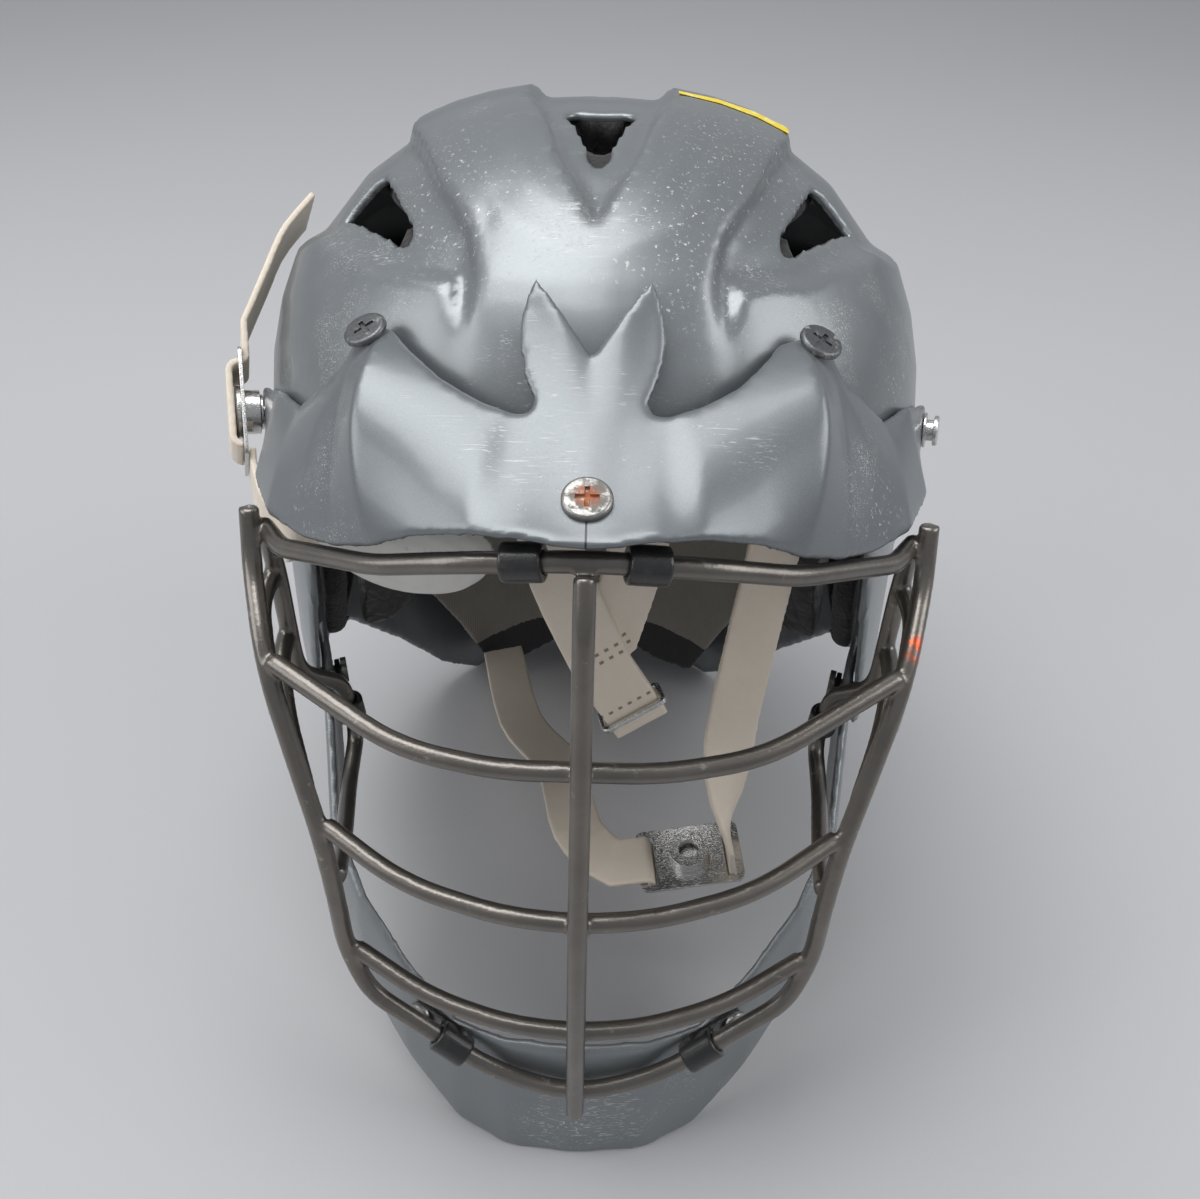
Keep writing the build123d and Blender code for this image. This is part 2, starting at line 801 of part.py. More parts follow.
jaw_clip_run = (3, 4)  # the straight run of the rear bar that a jaw clip holds
guard_inset = shell_wall + guard_gap + guard_wall + seat_play
for side, hand in ((1, "left"), (-1, "right")):
    start, end = [at(rear_bar_shares[index], side) for index in jaw_clip_run]
    place, direction = (start + end) / 2, (end - start).normalized()
    inner_plane = jaw_plane[side].offset(-guard_inset)
    with BuildPart() as jaw_clip:
        add(sleeve(place, direction, jaw_clip_length))
        lean_in = inner_plane.z_dir * (sleeve_diameter / 2 - foot_thickness)
        add(tab(inner_plane.origin, place + lean_in, inner_plane.z_dir, foot_width, foot_thickness))
        add(bore(place, direction), mode=Mode.SUBTRACT)
        add(peg(inner_plane, screw_shank + 2 * shank_play), mode=Mode.SUBTRACT)
    keep(jaw_clip, f"jaw_clip_{hand}")


# Screws and nuts
def screw(plane, head_diameter, reach):
    """A low domed screw on a surface, its shank running to a depth."""
    with BuildPart() as fastener:
        with BuildSketch(plane.offset(seat_play)):
            Circle(head_diameter / 2)
        extrude(amount=screw_head_height)
        fillet(fastener.faces().sort_by(Axis(plane.origin, plane.z_dir))[-1].edges(), screw_head_height * 0.6)
        with BuildSketch(plane.offset(seat_play)):
            Circle(screw_shank / 2)
        extrude(amount=-reach)
        with BuildSketch(plane.offset(seat_play + screw_head_height)):
            Rectangle(drive_slot_length, drive_slot_width)
            Rectangle(drive_slot_width, drive_slot_length)
        extrude(amount=-drive_slot_depth, mode=Mode.SUBTRACT)
    return fastener.part


def nut(plane, bore_diameter, diameter, thickness):
    """A round nut or washer whose outer face lies in a plane, pointing inwards."""
    with BuildPart() as ring:
        with BuildSketch(plane):
            Circle(diameter / 2)
            Circle(bore_diameter / 2, mode=Mode.SUBTRACT)
        extrude(amount=-thickness)
    return ring.part


nut_bore = screw_shank + 2 * seat_play
with BuildPart() as middle_screw:
    middle_reach = visor_wall + bridge_gap + bridge_thickness + clip_seat_gap + nut_thickness
    add(screw(middle_screw_plane, visor_screw_head, middle_reach))
keep(middle_screw, "visor_middle_screw")
with BuildPart() as middle_nut:
    add(nut(bridge_under.offset(-clip_seat_gap), nut_bore, nut_diameter, nut_thickness))
keep(middle_nut, "visor_middle_nut")

temple_spot = spot_below(temple_plane[1])
temple_depth = {}
for side in (1, -1):
    depth = inner_depth(temple_plane[side], temple_spot, nut_diameter / 2, side)
    temple_depth[side] = depth + temple_nut_gap
jaw_depth = {side: guard_inset + foot_thickness for side in (1, -1)}
chin_depth = foot_thickness + guard_wall + 2 * seat_play
chin_head_plane = {side: chin_plane[side].offset(seat_play + foot_thickness) for side in (1, -1)}
for name, planes, depths, head in (
    ("temple", temple_plane, temple_depth, temple_screw_head),
    ("jaw", jaw_plane, jaw_depth, jaw_screw_head),
    ("chin", chin_head_plane, {1: chin_depth, -1: chin_depth}, chin_screw_head),
):
    with BuildPart() as screws:
        for side in (1, -1):
            add(screw(planes[side], head, depths[side] + nut_thickness))
    keep(screws, f"{name}_screws")
    with BuildPart() as nuts:
        for side in (1, -1):
            add(nut(planes[side].offset(-depths[side] - disc_play), nut_bore, nut_diameter, nut_thickness))
    keep(nuts, f"{name}_nuts")


# Strap studs
def stud(plane, reach):
    """A snap stud on a surface, its post running to a depth."""
    with BuildPart() as piece:
        with BuildSketch(plane.offset(seat_play)):
            Circle(stud_collar_diameter / 2)
        extrude(amount=stud_collar_thickness)
        with BuildSketch(plane.offset(seat_play)):
            Circle(stud_neck_diameter / 2)
        extrude(amount=stud_collar_thickness + stud_neck_length + stud_cap_thickness)
        with BuildSketch(plane.offset(seat_play + stud_collar_thickness + stud_neck_length)):
            Circle(stud_cap_diameter / 2)
        extrude(amount=stud_cap_thickness)
        chamfer(piece.faces().sort_by(Axis(plane.origin, plane.z_dir))[-1].edges(), stud_cap_thickness / 4)
        with BuildSketch(plane.offset(seat_play)):
            Circle(stud_post_diameter / 2)
        extrude(amount=-reach)
    return piece.part


post_bore = stud_post_diameter + 2 * seat_play
for place_name, planes, stud_spot in (
    ("front", front_stud_plane, front_stud_spot),
    ("rear", rear_stud_plane, rear_stud_spot),
):
    for side, hand in ((1, "left"), (-1, "right")):
        depth = inner_depth(planes[side], stud_spot, stud_foot_diameter / 2, side)
        with BuildPart() as snap_stud:
            add(stud(planes[side], depth + stud_foot_thickness))
        keep(snap_stud, f"{place_name}_stud_{hand}")
    with BuildPart() as washers:
        for side in (1, -1):
            depth = inner_depth(planes[side], stud_spot, stud_foot_diameter / 2, side)
            seat = planes[side].offset(-depth - seat_play)
            add(nut(seat, post_bore, stud_foot_diameter, stud_foot_thickness))
    keep(washers, f"{place_name}_stud_washers")


# Padding: cushions that follow the rows of the shell's inside
pad_profile_shares = [
    (0, 0.45),
    (0.05, 0.8),
    (0.18, 0.97),
    (0.42, 1),
    (0.5, 0.84),
    (0.58, 1),
    (0.82, 0.97),
    (0.95, 0.8),
    (1, 0.45),
]
pad_end_share = 0.6  # thickness at a cushion's ends


def pad(azimuths, rows, outset, thickness, side=1):
    """A cushion with a crown, drawn-in sides and a channel, between two rows of the shell."""
    first, last = rows

    def levels(azimuth):
        turned = abs(azimuth) if azimuth <= 180 else 360 - azimuth
        return [level for level, _ in shell_row(turned, 0)[first : last + 1]]

    def outer(azimuth):
        return [(level, outset) for level in levels(azimuth)]

    def inner(azimuth):
        top, bottom = levels(azimuth)[0], levels(azimuth)[-1]
        full = thickness * (pad_end_share if azimuth in (azimuths[0], azimuths[-1]) else 1)
        return [(lerp(top, bottom, along), outset - full * height) for along, height in pad_profile_shares]

    return band(azimuths, outer, inner, side)


def both_ways(azimuths):
    """The same azimuths on the other side of the middle, then these."""
    return [-azimuth for azimuth in azimuths[::-1] if azimuth] + list(azimuths)


def about_nape(azimuths):
    """These azimuths, then the same ones past the nape."""
    return list(azimuths) + [360 - azimuth for azimuth in azimuths[::-1] if azimuth != 180]


pad_outset = -shell_wall - pad_gap
side_liner_azimuths = (25, 32, 47, 66, 92, 121, 144, 156)
front_liner_azimuths = (0, 5, 10, 14, 19)
rear_liner_azimuths = (164, 171, 180)
brow_azimuths = (0, 5, 10, 14, 19, 25, 32, 40, 47)
ear_azimuths = (60, 66, 78, 92, 104)
nape_azimuths = (121, 134, 144, 156, 164, 171, 180)
side_liner_rows = (1, 10)
front_liner_rows = (2, 8)
rear_liner_rows = (2, 9)
brow_rows = (10, 18)
ear_rows = (13, 18)
nape_rows = (13, 18)

with BuildPart() as crown_liner:
    for side in (1, -1):
        add(pad(side_liner_azimuths, side_liner_rows, pad_outset, crown_liner_thickness, side))
    add(pad(both_ways(front_liner_azimuths), front_liner_rows, pad_outset, crown_liner_thickness))
    add(pad(about_nape(rear_liner_azimuths), rear_liner_rows, pad_outset, crown_liner_thickness))
keep(crown_liner, "crown_liner")

with BuildPart() as brow_pad:
    add(pad(both_ways(brow_azimuths), brow_rows, pad_outset, brow_pad_thickness))
    for side in (1, -1):
        with BuildSketch(temple_plane[side]):
            Circle(nut_diameter / 2 + pad_gap)
        extrude(amount=-temple_depth[side] - disc_play - nut_thickness - pad_gap, mode=Mode.SUBTRACT)
keep(brow_pad, "brow_pad")

ear_cushion_outset = pad_outset - ear_foam_thickness - pad_gap
for side, hand in ((1, "left"), (-1, "right")):
    with BuildPart() as ear_foam:
        add(pad(ear_azimuths, ear_rows, pad_outset, ear_foam_thickness, side))
        with BuildSketch(Plane.YZ):
            with Locations((at(ear_hole_shares).Y, at(ear_hole_shares).Z)):
                RectangleRounded(ear_hole_length, ear_hole_height, ear_hole_corner)
        extrude(amount=side * (half_width + overrun), mode=Mode.SUBTRACT)
    keep(ear_foam, f"ear_foam_{hand}")
    with BuildPart() as ear_cushion:
        add(pad(ear_azimuths, ear_rows, ear_cushion_outset, ear_cushion_thickness, side))
    keep(ear_cushion, f"ear_cushion_{hand}")

with BuildPart() as nape_pad:
    add(pad(about_nape(nape_azimuths), nape_rows, pad_outset, nape_pad_thickness))
keep(nape_pad, "nape_pad")

nape_panel_outset = pad_outset - nape_pad_thickness - 2 * pad_gap


def nape_row(azimuth, outset):
    """Spots down the panel over the nape pad."""
    turned = azimuth if azimuth <= 180 else 360 - azimuth
    low = level_at_height(turned, edge_share(turned, nape_panel_edge_shares), nape_panel_outset)
    levels = [nape_panel_top_level] + spread(nape_panel_top_level, low, 4) + [low]
    return [(level, outset) for level in levels]


nape_panel_top_level = 0.86
nape_panel_edge_shares = [(121, 0.25), (126, 0.223), (143, 0.05), (150, 0.03), (170, 0.055), (180, 0.068)]
with BuildPart() as nape_panel:
    add(
        band(
            about_nape(nape_azimuths),
            lambda azimuth: nape_row(azimuth, nape_panel_outset),
            lambda azimuth: nape_row(azimuth, nape_panel_outset - nape_panel_thickness),
        )
    )
keep(nape_panel, "nape_panel")


# Webbing, modelled as flat ribbons through stations of a place and the direction across
def eased(stations, steps):
    """More stations along the smooth curve through the given ones."""
    finer = []
    for index in range(len(stations) - 1):
        near = [min(max(index + step, 0), len(stations) - 1) for step in (-1, 0, 1, 2)]
        before, start, end, after = [stations[place] for place in near]
        for step in range(steps):
            t = step / steps
            weights = (
                (-t + 2 * t * t - t**3) / 2,
                (2 - 5 * t * t + 3 * t**3) / 2,
                (t + 4 * t * t - 3 * t**3) / 2,
                (t**3 - t * t) / 2,
            )
            places = [one[0] for one in (before, start, end, after)]
            place = sum((one * weight for one, weight in zip(places, weights)), Vector())
            finer.append((place, lerp(start[1].normalized(), end[1].normalized(), t)))
    return finer + [stations[-1]]


def ribbon(stations):
    """A flat strap through its stations."""
    with BuildPart() as strap:
        for index, (place, across) in enumerate(stations):
            along = stations[min(index + 1, len(stations) - 1)][0] - stations[max(index - 1, 0)][0]
            with BuildSketch(Plane(origin=place, x_dir=square_to(across, along), z_dir=along)):
                Rectangle(strap_width, strap_thickness)
        loft(ruled=True)
    return strap.part


# Snap buckles: a plate with two slots, a socket on its inner face and a cap on its outer face
slot_width = strap_thickness + 2 * plate_slot_play
slot_length = strap_width + 2 * plate_slot_play
slot_inset = plate_length / 2 - plate_slot_bar - slot_width / 2
loop_height = plate_thickness + snap_cap_height + strap_gap + strap_thickness / 2
loop_bend = loop_height - plate_thickness
tail_depth = strap_thickness / 2 + strap_gap + snap_play


def plate(plane):
    """A buckle's plate, its inner face in the plane."""
    with BuildPart() as piece:
        with BuildSketch(plane):
            RectangleRounded(plate_length, plate_width, plate_corner)
            with Locations((slot_inset, 0), (-slot_inset, 0)):
                Rectangle(slot_width, slot_length, mode=Mode.SUBTRACT)
            Circle(rivet_diameter / 2 + snap_play, mode=Mode.SUBTRACT)
        extrude(amount=plate_thickness)
    return piece.part


def socket(plane):
    """A buckle's socket, hollowed for a stud."""
    mouth = stud_neck_diameter / 2 + snap_play
    chamber = stud_cap_diameter / 2 + snap_play
    with BuildPart() as piece:
        with BuildSketch(plane.offset(-snap_play)):
            Circle(socket_diameter / 2)
        extrude(amount=-socket_height)
        with BuildSketch(plane.offset(-snap_play - socket_height)):
            Circle(mouth)
        extrude(amount=socket_height - socket_top, mode=Mode.SUBTRACT)
        with BuildSketch(plane.offset(-snap_play - socket_top)):
            Circle(chamber)
        extrude(amount=-stud_cap_thickness - 2 * snap_play, mode=Mode.SUBTRACT)
    return piece.part


def snap_cap(plane):
    """A buckle's cap, riveted through the plate."""
    with BuildPart() as piece:
        with BuildSketch(plane.offset(plate_thickness + snap_play)):
            Circle(snap_cap_diameter / 2)
        extrude(amount=snap_cap_height - snap_play)
        chamfer(piece.faces().sort_by(Axis(plane.origin, plane.z_dir))[-1].edges(), snap_cap_height / 3)
        with BuildSketch(plane.offset(plate_thickness + snap_play)):
            Circle(rivet_diameter / 2)
        extrude(amount=-plate_thickness - snap_play)
    return piece.part


def loop_stations(plane):
    """The strap out through one slot, over the cap and in through the other."""
    quarter = []
    for step in range(4):
        turn = step * pi / 6
        quarter.append((slot_inset - loop_bend * (1 - cos(turn)), plate_thickness + loop_bend * sin(turn)))
    profile_places = quarter + [(-x, z) for x, z in quarter[::-1]]
    return [(plane.from_local_coords(Vector(x, 0, z)), plane.y_dir) for x, z in profile_places]


def tail_stations(plane, way):
    """The strap leaving a slot on the inner side and turning along the plate."""
    stations = []
    for step in range(4):
        turn = step * pi / 6
        x = slot_inset + tail_bend * (1 - cos(turn))
        z = tail_bend - tail_depth - tail_bend * sin(turn)
        stations.append((plane.from_local_coords(Vector(way * x, 0, z)), plane.y_dir))
    clear = plate_length / 2 + strap_width / 2
    stations.append((plane.from_local_coords(Vector(way * clear, 0, -tail_depth)), plane.y_dir))
    return stations


# The buckle snapped on the right front stud, and its strap's loop and tail
stud_height = seat_play + stud_collar_thickness + stud_neck_length + stud_cap_thickness
snapped_stud = front_stud_plane[-1]
plate_lift = stud_height + snap_play + socket_top + snap_play
plate_way_shares = (-0.18, 0.42, 0.18)
snapped_plane = Plane(
    origin=snapped_stud.origin + snapped_stud.z_dir * plate_lift,
    x_dir=square_to(at(plate_way_shares), snapped_stud.z_dir),
    z_dir=snapped_stud.z_dir,
)
# The buckle hanging loose on the left strap, its cap side down
loose_origin_shares = (0.355, -0.475, 0.24)
loose_way_shares = (0.34, 0.02, 0.018)
loose_down_shares = (0.02, 0.02, -0.1)
loose_plane = Plane(
    origin=at(loose_origin_shares),
    x_dir=at(loose_way_shares),
    z_dir=square_to(at(loose_down_shares), at(loose_way_shares)),
)
for plane, hand in ((loose_plane, "left"), (snapped_plane, "right")):
    with BuildPart() as buckle_plate:
        add(plate(plane))
    keep(buckle_plate, f"buckle_plate_{hand}")
    with BuildPart() as snap_socket:
        add(socket(plane))
    keep(snap_socket, f"snap_socket_{hand}")
    with BuildPart() as cap:
        add(snap_cap(plane))
    keep(cap, f"snap_cap_{hand}")

# Azimuth, level and outset, the outset as a share of the half width
tail_spots = [(85, 0.77, 0.11), (93, 0.72, 0.115), (101, 0.67, 0.11)]
with BuildPart() as buckle_strap:
    stations = loop_stations(snapped_plane)[::-1] + tail_stations(snapped_plane, 1)
    tail = [stations[-1]]
    for azimuth, level, rise_share in tail_spots:
        tail.append((spot(azimuth, level, rise_share * half_width, -1), snapped_plane.y_dir))
    add(ribbon(stations[:-1] + eased(tail, 3)))
keep(buckle_strap, "buckle_strap_right")

# The left strap, from behind the brow pad down through the loose buckle to its tail on the nape
left_strap_top_spots = [(43, 0.82), (45, 0.93)]
left_strap_shares = [
    (0.56, -0.225, 0.64),
    (0.545, -0.235, 0.577),
    (0.509, -0.29, 0.505),
    (0.46, -0.38, 0.384),
]
left_tail_shares = [(-0.02, -0.4, 0.233), (-0.1, -0.142, 0.193), (-0.273, 0.123, 0.131)]
left_across_shares = (0.16, 0.03, 0)
tail_turn_shares = (0.14, 0.06, 0)
left_end_spot = (213, 1.5)
brow_face_outset = pad_outset - brow_pad_thickness - pad_gap - strap_thickness / 2
with BuildPart() as left_strap:
    fall = at(left_across_shares)
    upper = [(spot(azimuth, level, brow_face_outset), fall) for azimuth, level in left_strap_top_spots]
    upper += [(at(place), fall) for place in left_strap_shares]
    slot_top = loose_plane.from_local_coords(Vector(slot_inset, 0, -strap_width / 2))
    upper.append((slot_top, -loose_plane.y_dir))
    slot_mouth = loose_plane.from_local_coords(Vector(slot_inset, 0, -strap_thickness))
    through = loop_stations(loose_plane) + tail_stations(loose_plane, -1)
    through = [(place, -across) for place, across in through]
    lower = [through[-1]] + [(at(place), at(tail_turn_shares)) for place in left_tail_shares]
    nape_face_outset = nape_panel_outset - nape_panel_thickness - tail_end_gap - strap_thickness / 2
    lower.append((spot(*left_end_spot, nape_face_outset), at(tail_turn_shares)))
    mouth = [(slot_mouth, -loose_plane.y_dir)]
    add(ribbon(eased(upper, 4) + mouth + through[:-1] + eased(lower, 4)))
keep(left_strap, "chin_strap_left")

# The folded strap that hangs from the brow, and the wire slider around its two layers
fold_shares = (0.165, -0.434, 0.452)
fold_down_shares = (0.1, 0.016, -0.075)
fold_across_shares = (0.154, 0.031, 0.023)
fold_across = square_to(at(fold_across_shares), at(fold_down_shares))
fold_plane = Plane(origin=at(fold_shares), x_dir=fold_across, z_dir=-at(fold_down_shares))
layer_offset = strap_thickness / 2 + strap_gap
front_layer_spot = (-13, 0.8)
rear_layer_spot = (13, 0.8)
front_layer_shares = [(-0.13, -0.405, 0.745), (-0.075, -0.45, 0.66)]
rear_layer_shares = [(0.15, -0.375, 0.74), (0.125, -0.41, 0.66)]
with BuildPart() as hanging_strap:
    front = -1 if fold_plane.y_dir.Y > 0 else 1

    def layer(height, offset):
        """A station of a layer of the strap above its fold."""
        return (fold_plane.from_local_coords(Vector(0, front * offset, height)), fold_plane.x_dir)

    def against_pad(place):
        """A station that lies flat on the brow pad."""
        seat = facing(*place, brow_face_outset)
        return (seat.origin, seat.x_dir)

    front_run = [
        against_pad(front_layer_spot),
        *[(at(place), fold_plane.x_dir) for place in front_layer_shares],
        layer(straight_run, layer_offset),
    ]
    rear_run = [
        against_pad(rear_layer_spot),
        *[(at(place), fold_plane.x_dir) for place in rear_layer_shares],
        layer(straight_run, -layer_offset),
    ]
    bend = []
    for step in range(7):
        turn = step * pi / 6
        bend.append(layer(-layer_offset * sin(turn), layer_offset * cos(turn)))
    add(ribbon(eased(front_run, 4) + bend + eased(rear_run, 4)[::-1]))
keep(hanging_strap, "hanging_strap")

with BuildPart() as strap_slider:
    slider_plane = fold_plane.offset(slider_rise)
    ring_length = strap_width + 2 * slider_play + slider_wire
    ring_depth = 2 * layer_offset + strap_thickness + 2 * slider_play + slider_wire
    mouth_length, mouth_depth = ring_length - slider_wire, ring_depth - slider_wire
    with BuildSketch(slider_plane):
        RectangleRounded(ring_length + slider_wire, ring_depth + slider_wire, slider_wire)
        RectangleRounded(mouth_length, mouth_depth, slider_wire / 2, mode=Mode.SUBTRACT)
    extrude(amount=slider_wire)
    top_face = strap_slider.faces().sort_by(Axis(slider_plane.origin, slider_plane.z_dir))[-1]
    chamfer(top_face.edges(), slider_wire / 5)
keep(strap_slider, "strap_slider")

# Chin cup, tucked under the visor at the right temple, and its strap to the snapped buckle
cup_shares = (-0.5, -0.41, 0.69)
cup_long_shares = (-0.25, 0, 0.032)
cup_front_shares = (-0.02, -0.12, -0.02)
cup_plane = Plane(
    origin=at(cup_shares),
    x_dir=at(cup_long_shares),
    z_dir=square_to(at(cup_front_shares), at(cup_long_shares)),
)
cup_depth_shares = [(1, 0), (0.94, 0.35), (0.82, 0.62), (0.6, 0.84), (0.3, 0.96)]


def bowl(inset):
    """The cup's form, drawn in all round."""
    with BuildPart() as form:
        for reach, depth in cup_depth_shares:
            with BuildSketch(cup_plane.offset(depth * (cup_depth - inset))):
                Ellipse(reach * (cup_width / 2 - inset), reach * (cup_height / 2 - inset))
        loft(ruled=True)
    return form.part


with BuildPart() as chin_cup:
    add(bowl(0))
    add(bowl(cup_wall), mode=Mode.SUBTRACT)
keep(chin_cup, "chin_cup")

cup_strap_shares = [(-0.845, -0.335, 0.665), (-0.9, -0.285, 0.637), (-0.963, -0.235, 0.637)]
cup_strap_across_shares = (0.02, 0, 0.06)
cup_end_shares = [(0.3, 0.04), (0.48, 0.1)]  # of the cup's width and height
with BuildPart() as cup_strap:
    stations = []
    for along, down in cup_end_shares:
        place = Vector(along * cup_width, down * cup_height, -strap_gap - strap_thickness / 2)
        stations.append((cup_plane.from_local_coords(place), -cup_plane.y_dir))
    stations += [(at(place), at(cup_strap_across_shares)) for place in cup_strap_shares]
    behind = -strap_gap - snap_play - strap_thickness / 2
    for x in (-plate_length / 2 - strap_thickness, -slot_inset):
        stations.append((snapped_plane.from_local_coords(Vector(x, 0, behind)), -snapped_plane.y_dir))
    add(ribbon(eased(stations, 4)))
keep(cup_strap, "cup_strap_right")

# Label on the left raised panel, between two meridians of the shell
label_azimuths = (78, 92)
label_rows = (5, 6, 7, 8)
label_side_shares = (0.12, 0.88)
with BuildPart() as crown_label:
    rows = [[spot(azimuth, *shell_row(azimuth, 0)[row]) for azimuth in label_azimuths] for row in label_rows]
    for index, (first, second) in enumerate(rows):
        before, after = rows[max(index - 1, 0)], rows[min(index + 1, len(rows) - 1)]
        down = (after[0] + after[1] - before[0] - before[1]).normalized()
        left, right = [lerp(first, second, share) for share in label_side_shares]
        along = (right - left).normalized()
        outward = down.cross(along)
        outward = outward if outward.Z > 0 else -outward
        place = (left + right) / 2 + outward * (label_gap + label_thickness / 2)
        with BuildSketch(Plane(origin=place, x_dir=along, z_dir=along.cross(outward))):
            Rectangle((right - left).length, label_thickness)
    loft(ruled=True)
keep(crown_label, "crown_label")
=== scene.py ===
import json
from math import cos, pi, radians, sin

import bmesh
import bpy
import numpy as np
from mathutils import Matrix, Vector


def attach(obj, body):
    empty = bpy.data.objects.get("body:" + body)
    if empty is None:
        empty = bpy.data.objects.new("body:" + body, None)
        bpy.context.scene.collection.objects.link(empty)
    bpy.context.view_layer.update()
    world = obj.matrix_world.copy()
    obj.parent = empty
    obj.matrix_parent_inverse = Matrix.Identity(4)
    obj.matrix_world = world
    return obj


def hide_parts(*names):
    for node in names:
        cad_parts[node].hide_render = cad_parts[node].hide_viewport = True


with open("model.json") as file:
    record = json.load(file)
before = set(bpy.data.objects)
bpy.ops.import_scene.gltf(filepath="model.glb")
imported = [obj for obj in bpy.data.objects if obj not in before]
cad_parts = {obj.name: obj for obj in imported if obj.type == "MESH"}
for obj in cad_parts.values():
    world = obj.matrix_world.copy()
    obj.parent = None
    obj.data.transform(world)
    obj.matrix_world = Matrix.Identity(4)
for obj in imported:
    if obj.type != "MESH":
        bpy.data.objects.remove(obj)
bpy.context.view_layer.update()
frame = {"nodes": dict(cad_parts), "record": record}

# Lacrosse helmet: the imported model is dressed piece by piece, in metres.
print("frame loaded:", len(frame["nodes"]), "nodes")

# Camera, at the height and tilt from which the photograph was taken
cameraView = {
    "place": (0.0038, -0.348, 0.432),
    "down": 41.0,
    "roll": 1.55,
    "lens": 36.0,
    "sensor": 36.0,
    "frame": (1200, 1199),
}


def makeCamera():
    down, roll = radians(cameraView["down"]), radians(cameraView["roll"])
    right = Vector((cos(roll), sin(roll) * sin(down), sin(roll) * cos(down)))
    up = Vector((-sin(roll), cos(roll) * sin(down), cos(roll) * cos(down)))
    back = right.cross(up)
    camera = bpy.data.objects.new("camera", bpy.data.cameras.new("camera"))
    camera.data.lens, camera.data.sensor_width = cameraView["lens"], cameraView["sensor"]
    turn = Matrix((right, up, back)).transposed().to_4x4()
    camera.matrix_world = Matrix.Translation(cameraView["place"]) @ turn
    bpy.context.scene.collection.objects.link(camera)
    bpy.context.scene.camera = camera


makeCamera()
print("camera set")


# Shader maths: arithmetic on a Value adds the Math nodes for it
class Value:
    def __init__(self, paint, socket):
        self.paint, self.socket = paint, socket

    def math(self, operation, other, swapped=False):
        pair = (other, self) if swapped else (self, other)
        return self.paint.node("ShaderNodeMath", {"operation": operation}, {0: pair[0], 1: pair[1]})

    def __add__(self, other):
        return self.math("ADD", other)

    def __radd__(self, other):
        return self.math("ADD", other, True)

    def __sub__(self, other):
        return self.math("SUBTRACT", other)

    def __rsub__(self, other):
        return self.math("SUBTRACT", other, True)

    def __mul__(self, other):
        return self.math("MULTIPLY", other)

    def __rmul__(self, other):
        return self.math("MULTIPLY", other, True)


# A material of its own: one Principled shader, and the pattern makers that feed it
class Paint:
    def __init__(self, name, **fixed):
        self.material = bpy.data.materials.new(name)
        self.material.use_nodes = True
        self.tree = self.material.node_tree
        self.shader = self.tree.nodes["Principled BSDF"]
        self.set(**fixed)
        coordinates = self.tree.nodes.new("ShaderNodeTexCoord")
        self.place = Value(self, coordinates.outputs["Object"])

    def set(self, **inputs):
        for name, value in inputs.items():
            self.feed(self.shader.inputs[name.replace("_", " ")], value)

    def feed(self, socket, value):
        if isinstance(value, Value):
            self.tree.links.new(value.socket, socket)
        else:
            socket.default_value = value

    def node(self, kind, settings, inputs, output=0):
        made = self.tree.nodes.new(kind)
        for name, value in settings.items():
            setattr(made, name, value)
        for name, value in inputs.items():
            self.feed(made.inputs[name], value)
        return Value(self, made.outputs[output])

    def noise(self, scale, detail=3.0, rough=0.55, warp=0.0, place=None):
        inputs = {"Vector": place or self.place, "Scale": scale, "Detail": detail, "Roughness": rough}
        return self.node("ShaderNodeTexNoise", {}, {**inputs, "Distortion": warp})

    def cells(self, scale, feature="F1"):
        inputs = {"Vector": self.place, "Scale": scale}
        return self.node("ShaderNodeTexVoronoi", {"feature": feature}, inputs)

    def bands(self, scale, direction):
        inputs = {"Vector": self.place, "Scale": scale}
        return self.node("ShaderNodeTexWave", {"bands_direction": direction}, inputs)

    # the place turned by Euler degrees and stretched, for patterns that run one way
    def turned(self, degreesRound, stretch):
        turn = tuple(radians(angle) for angle in degreesRound)
        inputs = {"Vector": self.place, "Rotation": turn, "Scale": stretch}
        return self.node("ShaderNodeMapping", {}, inputs)

    # 0 below low, 1 above high, eased between
    def step(self, value, low, high):
        inputs = {"Value": value, "From Min": low, "From Max": high}
        return self.node("ShaderNodeMapRange", {"interpolation_type": "SMOOTHSTEP"}, inputs)

    # a noise raised to patches: 0 where it is below low, 1 where it is above high
    def patches(self, low, high, **noise):
        return self.step(self.noise(**noise), low, high)

    # 1 within the inner distance of a spot, 0 beyond the outer one
    def near(self, spot, inner, outer):
        ends = {0: self.place, 1: spot}
        away = self.node("ShaderNodeVectorMath", {"operation": "DISTANCE"}, ends, "Value")
        return 1 - self.step(away, inner, outer)

    # how far the place lies along a direction from a spot
    def along(self, spot, direction):
        offset = self.node("ShaderNodeVectorMath", {"operation": "SUBTRACT"}, {0: self.place, 1: spot})
        pair = {0: offset, 1: tuple(Vector(direction).normalized())}
        return self.node("ShaderNodeVectorMath", {"operation": "DOT_PRODUCT"}, pair, "Value")

    def blend(self, amount, first, second):
        settings = {"data_type": "RGBA", "clamp_factor": True}
        return self.node("ShaderNodeMix", settings, {0: amount, 6: first, 7: second}, 2)

    def relief(self, height, depth, strength):
        bump = self.node("ShaderNodeBump", {}, {"Height": height, "Distance": depth, "Strength": strength})
        self.set(Normal=bump)


def colour(red, green, blue):
    return (red, green, blue, 1.0)


# one mask over another, so that where they cross they don't add up past 1
def over(masks, mask):
    return mask if masks is None else masks + mask * (1 - masks)


# A scratch is noise drawn out along one direction by its stretch: turn in degrees, then stretch
hairNoise = {"scale": 1.0, "detail": 1.0, "rough": 0.4}
scratchRuns = [
    ((0, 20, 35), (60, 2600, 2600)),
    ((30, 10, -50), (45, 2300, 2300)),
    ((70, 0, 80), (70, 3000, 3000)),
]
steelRun = ((10, 25, 40), (300, 4200, 4200))


